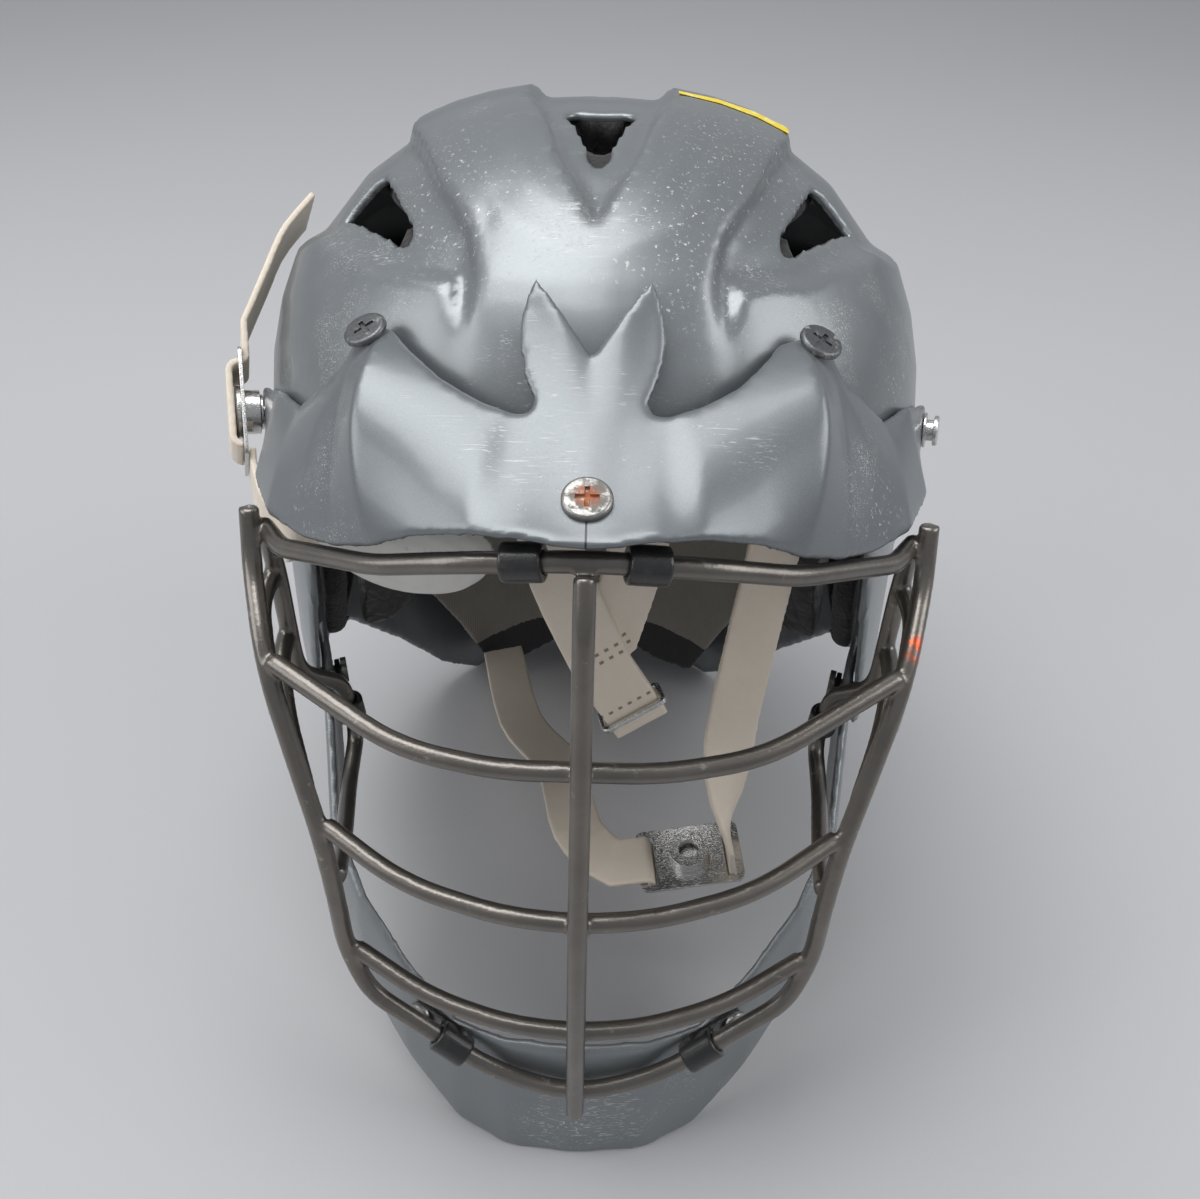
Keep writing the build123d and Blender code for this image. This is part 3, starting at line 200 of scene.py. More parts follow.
# Satin silver paint over moulded plastic: soft mottling, hairline scratches that run several
# ways, and pale scuffs where the paint has rubbed through
def silverPaint(name, look):
    paint = Paint(name, Metallic=look["metal"], Coat_Roughness=look["coatRoughness"])
    mottle = paint.noise(**look["mottle"])
    flake = paint.noise(**look["flake"])
    worn = paint.patches(**look["wear"])
    hairs = None
    for turn, stretch in scratchRuns:
        hairs = over(hairs, paint.patches(**look["hair"], place=paint.turned(turn, stretch)))
    hairs = hairs * paint.patches(**look["hairPatch"])
    chips = paint.patches(**look["chip"])
    scuffs = None
    for spot, inner, outer in look["scuffs"]:
        scuffs = over(scuffs, paint.near(spot, inner, outer))
    marks = worn * hairs * look["hairShare"] + chips * scuffs * look["scuffShare"]
    tone = paint.blend(mottle, look["dark"], look["light"])
    tone = paint.blend(flake * look["flakeShare"], tone, look["spark"])
    tone = paint.blend(marks, tone, look["bare"])
    for spot, direction, reach, width in look["cracks"]:
        across = paint.along(spot, direction)
        line = 1 - paint.step(across.math("ABSOLUTE", 0.0), width * look["crackCore"], width)
        line = line * paint.near(spot, reach * look["crackHold"], reach)
        tone = paint.blend(line, tone, look["crack"])
    paint.set(Base_Color=tone)
    dull = mottle * look["mottleDull"] + marks * look["markDull"]
    paint.set(Roughness=look["roughness"] + dull)
    paint.set(Coat_Weight=look["coat"] - marks * look["coat"])
    height = mottle * look["mottleHeight"] + flake * look["flakeHeight"] - marks * look["markDepth"]
    paint.relief(height, **look["relief"])
    return paint.material


silver = {
    "dark": colour(0.15, 0.166, 0.175),
    "light": colour(0.225, 0.243, 0.252),
    "spark": colour(0.42, 0.44, 0.45),
    "bare": colour(0.68, 0.68, 0.66),
    "crack": colour(0.035, 0.035, 0.04),
    "metal": 0.55,
    "roughness": 0.31,
    "mottleDull": 0.1,
    "markDull": 0.25,
    "coat": 0.32,
    "coatRoughness": 0.14,
    "mottle": {"scale": 16.0, "detail": 4.0},
    "flake": {"scale": 3200.0, "detail": 1.0},
    "flakeShare": 0.3,
    "wear": {"scale": 30.0, "detail": 5.0, "rough": 0.7, "low": 0.43, "high": 0.53},
    "hair": {**hairNoise, "low": 0.66, "high": 0.73},
    "hairPatch": {"scale": 22.0, "low": 0.5, "high": 0.62},
    "hairShare": 0.75,
    "chip": {"scale": 620.0, "detail": 6.0, "rough": 0.75, "low": 0.6, "high": 0.64},
    "scuffShare": 0.9,
    "scuffs": [
        ((0.028, -0.04, 0.3), 0.012, 0.045),
        ((-0.035, -0.03, 0.3), 0.01, 0.04),
        ((0.05, 0.01, 0.3), 0.015, 0.05),
        ((-0.055, 0.0, 0.295), 0.01, 0.035),
        ((0.0, -0.03, 0.305), 0.008, 0.03),
        ((0.09, -0.02, 0.24), 0.006, 0.02),
    ],
    "cracks": [],
    "crackCore": 0.4,
    "crackHold": 0.8,
    "mottleHeight": 0.5,
    "flakeHeight": 0.06,
    "markDepth": 0.15,
    "relief": {"depth": 0.0008, "strength": 0.35},
}
# The visor has the shell's silver paint; its darker dark and light tones are painted shade on the visor
# front, not a darker paint
visorLook = {
    **silver,
    "dark": colour(0.115, 0.13, 0.14),
    "light": colour(0.175, 0.192, 0.203),
    "roughness": 0.35,
    "scuffs": [
        ((-0.012, -0.108, 0.268), 0.006, 0.02),
        ((0.012, -0.1, 0.272), 0.004, 0.016),
        ((0.03, -0.09, 0.275), 0.004, 0.016),
        ((0.082, -0.08, 0.236), 0.006, 0.02),
        ((-0.08, -0.085, 0.235), 0.004, 0.014),
    ],
    "cracks": [
        ((0, -0.12, 0.254), (1, 0, 0), 0.011, 0.0004),
        ((0, -0.1, 0.268), (1, 0, 0), 0.003, 0.0004),
    ],
}
guardLook = {**silver, "roughness": 0.37, "scuffs": [((0.0, -0.15, 0.02), 0.004, 0.03)]}


# Dark lacquered steel wire: blotched brown, rubbed bright in small patches, with one red mark
wireLook = {
    "dark": colour(0.1, 0.09, 0.08),
    "light": colour(0.22, 0.2, 0.178),
    "bright": colour(0.42, 0.4, 0.37),
    "mark": colour(0.62, 0.1, 0.03),
    "metal": 0.85,
    "roughness": 0.28,
    "coat": 0.5,
    "coatRoughness": 0.12,
    "blotch": {"scale": 45.0, "detail": 4.0, "rough": 0.6},
    "grain": {"scale": 1400.0, "detail": 2.0},
    "grainDull": 0.12,
    "rubbed": {"scale": 160.0, "detail": 5.0, "rough": 0.7, "low": 0.62, "high": 0.72},
    "rubbedShare": 0.5,
    "rubbedDull": 0.1,
    "rubbedCoat": 0.4,
    "markSpot": ((0.096, -0.096, 0.199), 0.003, 0.007),
    "markPatch": {"scale": 300.0, "low": 0.45, "high": 0.55},
    "grainHeight": 0.4,
    "blotchHeight": 0.6,
    "relief": {"depth": 0.00035, "strength": 0.5},
}


def wirePaint(name, look):
    paint = Paint(name, Metallic=look["metal"], Coat_Roughness=look["coatRoughness"])
    blotch = paint.noise(**look["blotch"])
    grain = paint.noise(**look["grain"])
    rubbed = paint.patches(**look["rubbed"])
    tone = paint.blend(blotch, look["dark"], look["light"])
    tone = paint.blend(rubbed * look["rubbedShare"], tone, look["bright"])
    mark = paint.near(*look["markSpot"]) * paint.patches(**look["markPatch"])
    paint.set(Base_Color=paint.blend(mark, tone, look["mark"]))
    paint.set(Roughness=look["roughness"] + grain * look["grainDull"] + rubbed * look["rubbedDull"])
    paint.set(Coat_Weight=look["coat"] - rubbed * look["rubbedCoat"])
    paint.relief(grain * look["grainHeight"] + blotch * look["blotchHeight"], **look["relief"])
    return paint.material


# Glossy black moulded rubber, fine grained, with dust in patches
rubber = {
    "clean": colour(0.012, 0.012, 0.012),
    "dusty": colour(0.06, 0.058, 0.055),
    "specular": 0.5,
    "roughness": 0.26,
    "coat": 0.4,
    "coatRoughness": 0.2,
    "dust": {"scale": 120.0, "detail": 5.0, "rough": 0.65, "low": 0.52, "high": 0.75},
    "dustShare": 0.5,
    "dustDull": 0.3,
    "dustHeight": 0.5,
    "grain": {"scale": 1800.0, "detail": 2.0},
    "grainDull": 0.08,
    "relief": {"depth": 0.0002, "strength": 0.6},
}


def rubberPaint(name, look):
    paint = Paint(name, Specular_IOR_Level=look["specular"], Coat_Roughness=look["coatRoughness"])
    dust = paint.patches(**look["dust"])
    grain = paint.noise(**look["grain"])
    paint.set(Base_Color=paint.blend(dust * look["dustShare"], look["clean"], look["dusty"]))
    paint.set(Roughness=look["roughness"] + dust * look["dustDull"] + grain * look["grainDull"])
    paint.set(Coat_Weight=look["coat"] - dust * look["dustDull"])
    paint.relief(grain + dust * look["dustHeight"], **look["relief"])
    return paint.material


# Matt closed-cell foam: pores of two sizes
foam = {
    "dark": colour(0.014, 0.014, 0.014),
    "light": colour(0.04, 0.039, 0.037),
    "sheen": 0.15,
    "roughness": 0.78,
    "pores": 620.0,
    "poreDull": 0.15,
    "poreHeight": 0.7,
    "fine": 1700.0,
    "fineHeight": 0.3,
    "soil": {"scale": 35.0, "detail": 4.0},
    "relief": {"depth": 0.0007, "strength": 0.8},
}


def foamPaint(name, look):
    paint = Paint(name, Sheen_Weight=look["sheen"])
    pores = paint.cells(look["pores"])
    fine = paint.cells(look["fine"])
    soil = paint.noise(**look["soil"])
    paint.set(Base_Color=paint.blend(soil, look["dark"], look["light"]))
    paint.set(Roughness=look["roughness"] + pores * look["poreDull"])
    paint.relief(pores * look["poreHeight"] + fine * look["fineHeight"], **look["relief"])
    return paint.material


# Soft black leathery skin: creases between cells, with a fine grain
leather = {
    "dark": colour(0.016, 0.015, 0.014),
    "light": colour(0.042, 0.04, 0.038),
    "specular": 0.45,
    "roughness": 0.36,
    "coat": 0.12,
    "coatRoughness": 0.3,
    "swell": {"scale": 40.0, "detail": 3.0, "rough": 0.5, "warp": 0.6},
    "swellDull": 0.16,
    "swellCoat": 0.1,
    "swellHeight": 0.5,
    "creases": 150.0,
    "creaseWidth": 0.22,
    "creaseDull": 0.12,
    "creaseHeight": 0.6,
    "grain": 900.0,
    "grainHeight": 0.12,
    "relief": {"depth": 0.0012, "strength": 0.75},
}


def leatherPaint(name, look):
    paint = Paint(name, Specular_IOR_Level=look["specular"], Coat_Roughness=look["coatRoughness"])
    swell = paint.noise(**look["swell"])
    skin = paint.step(paint.cells(look["creases"], "DISTANCE_TO_EDGE"), 0.0, look["creaseWidth"])
    grain = paint.cells(look["grain"])
    paint.set(Base_Color=paint.blend(swell, look["dark"], look["light"]))
    paint.set(Roughness=look["roughness"] + swell * look["swellDull"] + (1 - skin) * look["creaseDull"])
    paint.set(Coat_Weight=look["coat"] + swell * look["swellCoat"])
    height = skin * look["creaseHeight"] + swell * look["swellHeight"] + grain * look["grainHeight"]
    paint.relief(height, **look["relief"])
    return paint.material


# Tan-grey lining cloth: a fine plain weave, soiled, with black trim where the mesh marks it
lining = {
    "dark": colour(0.2, 0.178, 0.15),
    "light": colour(0.34, 0.31, 0.27),
    "thread": colour(0.42, 0.39, 0.34),
    "trim": colour(0.02, 0.019, 0.018),
    "sheen": 0.25,
    "roughness": 0.88,
    "trimGloss": 0.25,
    "trimEdge": (0.4, 0.6),
    "weave": 320.0,
    "weaveShare": 0.3,
    "weaveHeight": 0.5,
    "soil": {"scale": 28.0, "detail": 5.0, "rough": 0.65},
    "soilHeight": 0.6,
    "relief": {"depth": 0.0006, "strength": 0.6},
}


def napePaint(name, look):
    paint = Paint(name, Sheen_Weight=look["sheen"])
    weave = paint.bands(look["weave"], "X") * paint.bands(look["weave"], "Z")
    soil = paint.noise(**look["soil"])
    cloth = paint.blend(soil, look["dark"], look["light"])
    cloth = paint.blend(weave * look["weaveShare"], cloth, look["thread"])
    mask = paint.node("ShaderNodeAttribute", {"attribute_name": "trim"}, {}, "Fac")
    trim = paint.step(mask, *look["trimEdge"])
    paint.set(Base_Color=paint.blend(trim, cloth, look["trim"]))
    paint.set(Roughness=look["roughness"] - trim * look["trimGloss"])
    paint.relief(weave * look["weaveHeight"] + soil * look["soilHeight"], **look["relief"])
    return paint.material


# Cream webbing: fine fibres, handling dirt, and rows of stitch holes
webbing = {
    "dark": colour(0.74, 0.64, 0.52),
    "light": colour(0.86, 0.78, 0.67),
    "fibreTone": colour(0.6, 0.5, 0.39),
    "hole": colour(0.28, 0.21, 0.15),
    "sheen": 0.1,
    "depth": {"Subsurface_Weight": 0.05, "Subsurface_Scale": 0.002},
    "roughness": 0.55,
    "soil": {"scale": 60.0, "detail": 5.0, "rough": 0.65},
    "soilDull": 0.15,
    "soilHeight": 0.3,
    "fibre": {"scale": 1500.0, "detail": 3.0, "rough": 0.7},
    "fibreShare": 0.25,
    "fibreHeight": 0.5,
    "rowEdge": (0.0004, 0.0008),
    "rowReach": (0.012, 0.014),
    "stitchWave": 1800.0,
    "stitchEdge": (0.0, 0.6),
    "relief": {"depth": 0.00035, "strength": 0.7},
}


def webbingPaint(name, rows, look):
    paint = Paint(name, Sheen_Weight=look["sheen"], **look["depth"])
    soil = paint.noise(**look["soil"])
    fibre = paint.noise(**look["fibre"])
    tone = paint.blend(soil, look["dark"], look["light"])
    tone = paint.blend(fibre * look["fibreShare"], tone, look["fibreTone"])
    holes = None
    for spot, down, across in rows:
        onRow = 1 - paint.step(paint.along(spot, down).math("ABSOLUTE", 0.0), *look["rowEdge"])
        wave = (paint.along(spot, across) * look["stitchWave"]).math("SINE", 0.0)
        dots = onRow * paint.step(wave, *look["stitchEdge"]) * paint.near(spot, *look["rowReach"])
        holes = over(holes, dots)
    height = fibre * look["fibreHeight"] + soil * look["soilHeight"] - holes
    paint.set(Base_Color=paint.blend(holes, tone, look["hole"]))
    paint.set(Roughness=look["roughness"] + soil * look["soilDull"])
    paint.relief(height, **look["relief"])
    return paint.material


# Plated or bare steel: fine scratches, stains, and rust where there is any
def steelPaint(name, look):
    paint = Paint(name)
    grain = paint.noise(**look["grain"])
    line = paint.patches(**look["hair"], place=paint.turned(*steelRun))
    stain = paint.patches(**look["stainPatch"])
    tone = paint.blend(grain, look["dark"], look["light"])
    tone = paint.blend(stain * look["stainShare"], tone, look["stain"])
    metal = look["metal"] - stain * look["stainShare"] * look["stainCover"]
    if "rustSpot" in look:
        rust = paint.near(*look["rustSpot"]) * paint.step(grain, *look["rustEdge"])
        tone = paint.blend(rust, tone, look["rust"])
        metal = metal - rust * look["rustCover"]
        stain = stain + rust
    paint.set(Base_Color=tone, Metallic=metal)
    paint.set(Roughness=look["roughness"] + stain * look["stainDull"] + line * look["hairDull"])
    paint.relief(grain * look["grainHeight"] + line * look["hairHeight"], **look["relief"])
    return paint.material


stainNoise = {"scale": 220.0, "detail": 5.0, "rough": 0.7}
zinc = {
    "dark": colour(0.24, 0.235, 0.225),
    "light": colour(0.42, 0.41, 0.39),
    "stain": colour(0.1, 0.085, 0.07),
    "metal": 0.95,
    "roughness": 0.34,
    "grain": {"scale": 900.0, "detail": 3.0, "rough": 0.6},
    "grainHeight": 0.6,
    "hair": {**hairNoise, "low": 0.6, "high": 0.7},
    "hairDull": 0.12,
    "hairHeight": 0.3,
    "stainPatch": {**stainNoise, "low": 0.5, "high": 0.62},
    "stainShare": 0.6,
    "stainCover": 0.7,
    "stainDull": 0.3,
    "relief": {"depth": 0.00012, "strength": 0.6},
}
rusty = {
    **zinc,
    "stainPatch": {**stainNoise, "low": 0.45, "high": 0.57},
    "rust": colour(0.42, 0.13, 0.045),
    "rustSpot": ((0.0, -0.1107, 0.2586), 0.0022, 0.0042),
    "rustEdge": (0.3, 0.6),
    "rustCover": 0.8,
}
templeLook = {
    **zinc,
    "dark": colour(0.1, 0.105, 0.11),
    "light": colour(0.22, 0.225, 0.23),
    "stain": colour(0.5, 0.49, 0.46),
    "stainPatch": {**stainNoise, "low": 0.56, "high": 0.68},
    "roughness": 0.42,
}
chrome = {
    **zinc,
    "dark": colour(0.55, 0.545, 0.53),
    "light": colour(0.74, 0.735, 0.72),
    "stain": colour(0.3, 0.27, 0.22),
    "stainPatch": {**stainNoise, "low": 0.64, "high": 0.76},
    "stainShare": 0.3,
    "roughness": 0.19,
}
studLook = {**chrome, "roughness": 0.22}


# White moulded plastic of the chin cup, handled and a little yellowed
cup = {
    "dark": colour(0.74, 0.72, 0.66),
    "light": colour(0.86, 0.85, 0.81),
    "mark": colour(0.42, 0.38, 0.32),
    "depth": {"Subsurface_Weight": 0.08, "Subsurface_Scale": 0.003},
    "roughness": 0.38,
    "soil": {"scale": 70.0, "detail": 5.0, "rough": 0.7},
    "soilDull": 0.2,
    "soilHeight": 0.4,
    "grain": {"scale": 1600.0, "detail": 2.0},
    "grainHeight": 0.5,
    "marks": {"scale": 240.0, "detail": 5.0, "rough": 0.7, "low": 0.62, "high": 0.7},
    "markShare": 0.35,
    "relief": {"depth": 0.00025, "strength": 0.5},
}


def cupPaint(name, look):
    paint = Paint(name, **look["depth"])
    soil = paint.noise(**look["soil"])
    grain = paint.noise(**look["grain"])
    marks = paint.patches(**look["marks"])
    tone = paint.blend(soil, look["dark"], look["light"])
    paint.set(Base_Color=paint.blend(marks * look["markShare"], tone, look["mark"]))
    paint.set(Roughness=look["roughness"] + soil * look["soilDull"])
    paint.relief(grain * look["grainHeight"] + soil * look["soilHeight"], **look["relief"])
    return paint.material


# A bare yellow sticker, rubbed pale in patches
label = {
    "bright": colour(0.78, 0.6, 0.03),
    "pale": colour(0.82, 0.76, 0.42),
    "specular": 0.4,
    "roughness": 0.5,
    "worn": {"scale": 260.0, "detail": 6.0, "rough": 0.7, "low": 0.5, "high": 0.6},
    "wornShare": 0.6,
    "wornDull": 0.25,
    "relief": {"depth": 0.00015, "strength": 0.6},
}


def labelPaint(name, look):
    paint = Paint(name, Specular_IOR_Level=look["specular"])
    worn = paint.patches(**look["worn"])
    paint.set(Base_Color=paint.blend(worn * look["wornShare"], look["bright"], look["pale"]))
    paint.set(Roughness=look["roughness"] + worn * look["wornDull"])
    paint.relief(worn, **look["relief"])
    return paint.material


# Stitches cross the folded strap at three heights above its fold, along the webbing's width
foldSpot = Vector((0.01815, -0.07031, 0.13786))
foldDown = Vector((0.011, 0.002592, -0.022875)).normalized()
foldAcross = Vector((0.01694, 0.005022, 0.007015)).normalized()
stitchHeights = (0.012, 0.034, 0.0375)
stitchRows = [(tuple(foldSpot - foldDown * height), foldDown, foldAcross) for height in stitchHeights]

materials = {
    "shell_silver": silverPaint("shellSilver", silver),
    "visor_silver": silverPaint("visorSilver", visorLook),
    "guard_silver": silverPaint("guardSilver", guardLook),
    "mask_wire": wirePaint("maskWire", wireLook),
    "clip_black": rubberPaint("clipBlack", rubber),
    "rusty_screw": steelPaint("rustyScrew", rusty),
    "screw_steel": steelPaint("screwSteel", zinc),
    "stud_chrome": steelPaint("studChrome", studLook),
    "buckle_chrome": steelPaint("buckleChrome", chrome),
    "foam_black": foamPaint("foamBlack", foam),
    "cushion_black": leatherPaint("cushionLeather", leather),
    "nape_fabric": napePaint("napeCloth", lining),
    "webbing_cream": webbingPaint("creamWebbing", stitchRows, webbing),
    "cup_white": cupPaint("cupWhite", cup),
    "label_yellow": labelPaint("labelYellow", label),
}
print("materials made:", len(materials))

slotOf = {entry["node"]: entry["material_slot"] for entry in frame["record"]["subparts"]}
bodies = frame["record"]["behaviour"]["bodies"]
bodyOf = {node: body for body, members in bodies.items() for node in members}
for node, thing in frame["nodes"].items():
    thing.data.materials.clear()
    thing.data.materials.append(materials[slotOf[node]])


# The solids of some nodes as one mesh, its doubled corners merged, and flat faces joined if asked
mergeReach = 0.000002


def mergedMesh(name, nodes, flatAngle=0.0):
    merged = bmesh.new()
    for node in nodes:
        merged.from_mesh(frame["nodes"][node].data)
    bmesh.ops.remove_doubles(merged, verts=merged.verts, dist=mergeReach)
    if flatAngle:
        limit = radians(flatAngle)
        bmesh.ops.dissolve_limit(merged, angle_limit=limit, verts=merged.verts, edges=merged.edges)
    mesh = bpy.data.meshes.new(name)
    merged.to_mesh(mesh)
    merged.free()
    return mesh


def placed(name, mesh):
    thing = bpy.data.objects.new(name, mesh)
    bpy.context.scene.collection.objects.link(thing)
    return thing


# The mesh of a piece with its modifiers worked in
def settle(piece):
    graph = bpy.context.evaluated_depsgraph_get()
    mesh = bpy.data.meshes.new_from_object(piece.evaluated_get(graph))
    piece.modifiers.clear()
    piece.data = mesh
    mesh.shade_smooth()


# A piece takes the material, the place in the record and the body of the nodes that it shows
def dress(piece, nodes):
    piece.data.materials.clear()
    piece.data.materials.append(materials[slotOf[nodes[0]]])
    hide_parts(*nodes)
    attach(piece, bodyOf[nodes[0]])
    return piece


# A copy of CAD solids as one skin: merged, voxel remeshed, then eased so that facets and edges
# round over as moulded plastic and cloth do. Each kind of skin has its voxel and its rounds of
# easing, each of which moves a corner this share of the way to the middle of its neighbours.
easeShare = 0.5
skins = {
    "visor": {"voxel": 0.0011, "rounds": 12},
    "guard": {"voxel": 0.0013, "rounds": 24},
    "cup": {"voxel": 0.0008, "rounds": 6},
    "shell": {"voxel": 0.0019, "rounds": 3},
    "label": {"voxel": 0.00022, "rounds": 1},
    "mask": {"voxel": 0.0009, "rounds": 4},
    "clip": {"voxel": 0.0005, "rounds": 4},
    "liner": {"voxel": 0.0026, "rounds": 8},
    "pad": {"voxel": 0.0022, "rounds": 8},
    "earFoam": {"voxel": 0.0018, "rounds": 6},
    "cushion": {"voxel": 0.0013, "rounds": 14},
    "panel": {"voxel": 0.0013, "rounds": 6},
    "strap": {"voxel": 0.00055, "rounds": 6},
}


def easedCopy(name, nodes, voxel, rounds, cutters=()):
    piece = placed(name, mergedMesh(name, nodes))
    for cutter in cutters:
        cut = piece.modifiers.new("cut", "BOOLEAN")
        cut.operation, cut.object, cut.solver = "DIFFERENCE", cutter, "EXACT"
    remesh = piece.modifiers.new("remesh", "REMESH")
    remesh.mode, remesh.voxel_size = "VOXEL", voxel
    ease = piece.modifiers.new("ease", "SMOOTH")
    ease.factor, ease.iterations = easeShare, rounds
    settle(piece)
    for cutter in cutters:
        bpy.data.objects.remove(cutter)
    return dress(piece, nodes)


def places(piece):
    mesh = piece.data
    spots = np.empty(len(mesh.vertices) * 3)
    mesh.vertices.foreach_get("co", spots)
    normals = np.empty(len(mesh.vertices) * 3)
    mesh.vertices.foreach_get("normal", normals)
    return spots.reshape(-1, 3), normals.reshape(-1, 3)


def move(piece, spots):
    piece.data.vertices.foreach_set("co", spots.astype(np.float32).ravel())
    piece.data.update()


# Wrinkles: a sum of sine ridges in random directions, each bent by a slower wave. The root makes
# the creases narrow and leaves the skin between them full.
crease = {"count": 7, "spread": (0.6, 1.6), "slower": 0.35, "bend": 1.8, "sharpness": 0.5}


def wrinkled(piece, depth, scale, seed):
    spots, normals = places(piece)
    random = np.random.default_rng(seed)
    height = np.zeros(len(spots))
    for _ in range(crease["count"]):
        run = random.normal(size=3)
        run = run / np.linalg.norm(run) * scale * random.uniform(*crease["spread"])
        bend = random.normal(size=3) * scale * crease["slower"]
        wave = spots @ run + crease["bend"] * np.sin(spots @ bend + random.uniform(0, 2 * pi))
        height += 1 - np.abs(np.sin(wave)) ** crease["sharpness"]
    height = height / crease["count"]
    move(piece, spots - normals * (height * depth)[:, None])


# Where the visor's upper edge dips beside its horns, as outlines in the photograph's own frame,
# from the ear of the visor to the horn; each is carried away from the camera as a block
visorDips = {
    "rightDip": [(666, 300), (668, 345), (661, 378), (649, 404), (652, 415), (668, 417), (702, 407),
                 (738, 389), (766, 362), (782, 338), (788, 320), (775, 285), (720, 270)],
    "leftDip": [(518, 300), (519, 345), (524, 378), (534, 402), (531, 413), (516, 414), (482, 402),
                (442, 379), (410, 350), (394, 330), (388, 312), (400, 285), (460, 268)],
}
blockReach = (0.2, 0.42)


def sightBlock(name, outline):
    turn = np.array(bpy.context.scene.camera.matrix_world.to_3x3())
    start = np.array(cameraView["place"])
    focus = cameraView["frame"][0] * cameraView["lens"] / cameraView["sensor"]
    corners = np.array(outline, float) - np.array(cameraView["frame"]) / 2
    rays = np.c_[corners[:, 0], -corners[:, 1], np.full(len(corners), -focus)] / focus @ turn.T
    spots = np.vstack([start + rays * reach for reach in blockReach])
    count = len(outline)
    around = [(i, (i + 1) % count, (i + 1) % count + count, i + count) for i in range(count)]
    mesh = bpy.data.meshes.new(name)
    ends = [tuple(range(count))[::-1], tuple(range(count, 2 * count))]
    mesh.from_pydata(spots.tolist(), [], [*ends, *around])
    solid = bmesh.new()
    solid.from_mesh(mesh)
    bmesh.ops.recalc_face_normals(solid, faces=solid.faces)
    solid.to_mesh(mesh)
    solid.free()
    return placed(name, mesh)


# Hard pieces
dips = [sightBlock(name, outline) for name, outline in visorDips.items()]
easedCopy("visor_moulding", ["visor"], **skins["visor"], cutters=dips)
print("moulded visor")
for name, skin in {"chin_guard": "guard", "chin_cup": "cup"}.items():
    easedCopy(f"{name}_moulding", [name], **skins[skin])
    print("moulded", name)

# The head form's plan is an ellipse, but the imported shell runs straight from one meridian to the
# next. In plan shares the chord between two meridians lies at cos(half their span) over
# cos(angle from their middle) of the ellipse, so spots move out by the inverse of that.
headForm = {
    "middle": (0.0, 0.036936, 0.186965),
    "lean": 12.0,
    "halfWidth": 0.11,
    "halfLength": 0.127008,
    "meridians": (0, 5, 10, 14, 19, 25, 32, 40, 47, 52, 56, 60, 66, 78, 92, 104, 121, 134, 144, 156, 164,
                  171, 180),
}


def rounded(piece):
    spots, _ = places(piece)
    lean = radians(headForm["lean"])
    axes = np.array([[1, 0, 0], [0, cos(lean), -sin(lean)], [0, sin(lean), cos(lean)]])
    local = (spots - np.array(headForm["middle"])) @ axes.T
    aside = np.abs(local[:, 0]) / headForm["halfWidth"]
    ahead = -local[:, 1] / headForm["halfLength"]
    angle = np.degrees(np.arctan2(aside, ahead))
    rows = np.array(headForm["meridians"], float)
    after = np.clip(np.searchsorted(rows, angle), 1, len(rows) - 1)
    half = np.radians(rows[after] - rows[after - 1]) / 2
    away = np.radians(angle - (rows[after] + rows[after - 1]) / 2)
    local[:, :2] *= (np.cos(away) / np.cos(half))[:, None]
    move(piece, local @ axes + np.array(headForm["middle"]))


rounded(easedCopy("shell_moulding", ["shell"], **skins["shell"]))
print("moulded shell")
rounded(easedCopy("crown_label_sticker", ["crown_label"], **skins["label"]))
print("label laid")


# A copy of turned or pressed metal: merged, shaded round, with its edges broken by a small bevel
metalLook = {"edge": 0.00018, "segments": 2, "flatAngle": 1.0, "sharpAngle": 32.0}


def trimmedCopy(node):
    mesh = mergedMesh(f"{node}_metal", [node], metalLook["flatAngle"])
    sharp = radians(metalLook["sharpAngle"])
    mesh.shade_smooth()
    mesh.set_sharp_from_angle(angle=sharp)
    piece = placed(f"{node}_metal", mesh)
    bevel = piece.modifiers.new("edge", "BEVEL")
    bevel.width, bevel.segments = metalLook["edge"], metalLook["segments"]
    bevel.limit_method, bevel.angle_limit = "ANGLE", sharp
    bevel.harden_normals = True
    return dress(piece, [node])


metalSlots = ("screw_steel", "rusty_screw", "stud_chrome", "buckle_chrome")
metal = {node: trimmedCopy(node) for node in slotOf if slotOf[node] in metalSlots}
metal["temple_screws"].data.materials[0] = steelPaint("templeRivet", templeLook)
print("metal trimmed:", len(metal))

maskNodes = [node for node in frame["nodes"] if node.startswith("mask_")]
easedCopy("face_mask", sorted(maskNodes), **skins["mask"])
print("mask welded")

clips = [f"{place}_clip_{hand}" for place in ("brow", "chin", "jaw") for hand in ("left", "right")]
for clip in clips:
    easedCopy(f"{clip}_moulding", [clip], **skins["clip"])
print("clips moulded")

# Soft pieces, each with its skin and how full of foam it is
pads = {
    "crown_liner": {"skin": "liner", "fill": 0.8},
    "brow_pad": {"skin": "pad", "fill": 0.8},
    "ear_foam_left": {"skin": "earFoam", "fill": 0.9},
    "ear_foam_right": {"skin": "earFoam", "fill": 0.9},
    "nape_pad": {"skin": "pad", "fill": 0.8},
}
for name, look in pads.items():
    easedCopy(f"{name}_foam", [name], **skins[look["skin"]])

# the cushions' wrinkles: large folds of the skin, then the small creases between them
cushionFolds = [
    {"depth": 0.0016, "scale": 230.0, "seeds": {"left": 11, "right": 12}},
    {"depth": 0.0007, "scale": 600.0, "seeds": {"left": 21, "right": 22}},
]
for hand in ("left", "right"):
    cushion = easedCopy(f"ear_cushion_{hand}_skin", [f"ear_cushion_{hand}"], **skins["cushion"])
    for fold in cushionFolds:
        wrinkled(cushion, fold["depth"], fold["scale"], fold["seeds"][hand])
print("padding made")

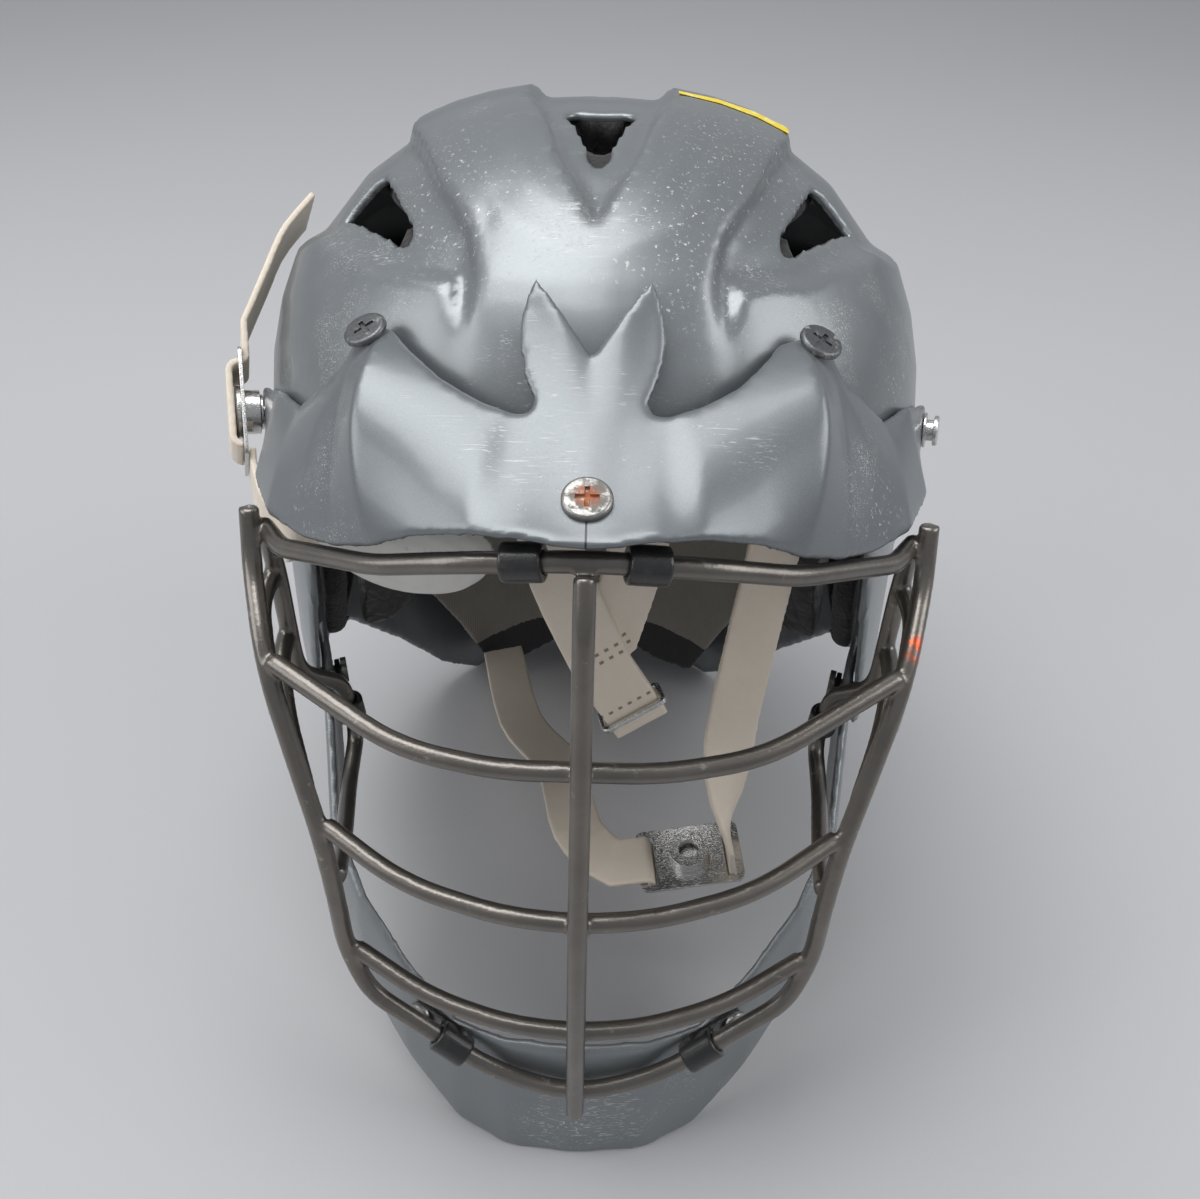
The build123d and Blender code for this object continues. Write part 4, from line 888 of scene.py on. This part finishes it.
# Lining panel, with a mask for the black trim below its trim height
panelLook = {"depth": 0.0004, "scale": 90.0, "seed": 5, "trimHeight": 0.03}
panel = easedCopy("nape_panel_cloth", ["nape_panel"], **skins["panel"])
wrinkled(panel, panelLook["depth"], panelLook["scale"], panelLook["seed"])
spots, _ = places(panel)
trimmed = spots[:, 2] < panelLook["trimHeight"]
trim = panel.data.attributes.new("trim", "FLOAT", "POINT")
trim.data.foreach_set("value", trimmed.astype(np.float32))
print("lining made")

for strap in ("chin_strap_left", "hanging_strap", "cup_strap_right", "buckle_strap_right"):
    easedCopy(f"{strap}_webbing", [strap], **skins["strap"])
print("webbing made")

# Floor, backdrop and light
studio = {
    "floor": colour(0.5, 0.5, 0.51),
    "floorShade": colour(0.44, 0.44, 0.45),
    "roughness": 0.75,
    "speckle": {"scale": 900.0, "detail": 2.0},
    "speckleShare": 0.25,
    "drift": {"scale": 2.0, "detail": 2.0},
    "driftShare": 0.4,
    "size": 6.0,
    "sky": colour(0.92, 0.95, 1.0),
    "skyStrength": 0.4,
}


def makeStage():
    size = studio["size"]
    mesh = bpy.data.meshes.new("floor")
    corners = [(-size, -size, 0), (size, -size, 0), (size, size, 0), (-size, size, 0)]
    mesh.from_pydata(corners, [], [(0, 1, 2, 3)])
    paint = Paint("floorPaint", Roughness=studio["roughness"])
    speckle = paint.noise(**studio["speckle"])
    drift = paint.noise(**studio["drift"])
    shade = drift * studio["driftShare"] + speckle * studio["speckleShare"]
    paint.set(Base_Color=paint.blend(shade, studio["floor"], studio["floorShade"]))
    mesh.materials.append(paint.material)
    placed("floor", mesh)
    world = bpy.data.worlds.new("studio")
    bpy.context.scene.world = world
    world.use_nodes = True
    background = world.node_tree.nodes["Background"]
    background.inputs["Color"].default_value = studio["sky"]
    background.inputs["Strength"].default_value = studio["skyStrength"]


lampAim = (0.0, 0.0, 0.2)
lamps = {
    "keyLamp": {"place": (-0.3, 0.1, 1.5), "size": 1.0, "power": 15.0},
    "sideLamp": {"place": (1.1, -0.1, 0.9), "size": 0.8, "power": 6.0},
    "farLamp": {"place": (-1.1, -0.3, 0.8), "size": 0.8, "power": 5.0},
}


def makeLamps():
    for name, look in lamps.items():
        lamp = bpy.data.lights.new(name, "AREA")
        lamp.shape, lamp.size, lamp.energy = "SQUARE", look["size"], look["power"]
        thing = placed(name, lamp)
        thing.location = look["place"]
        aim = Vector(lampAim) - Vector(look["place"])
        thing.rotation_euler = aim.to_track_quat("-Z", "Y").to_euler()


makeStage()
makeLamps()
bpy.context.scene.view_settings.view_transform = "Standard"
print("stage lit")
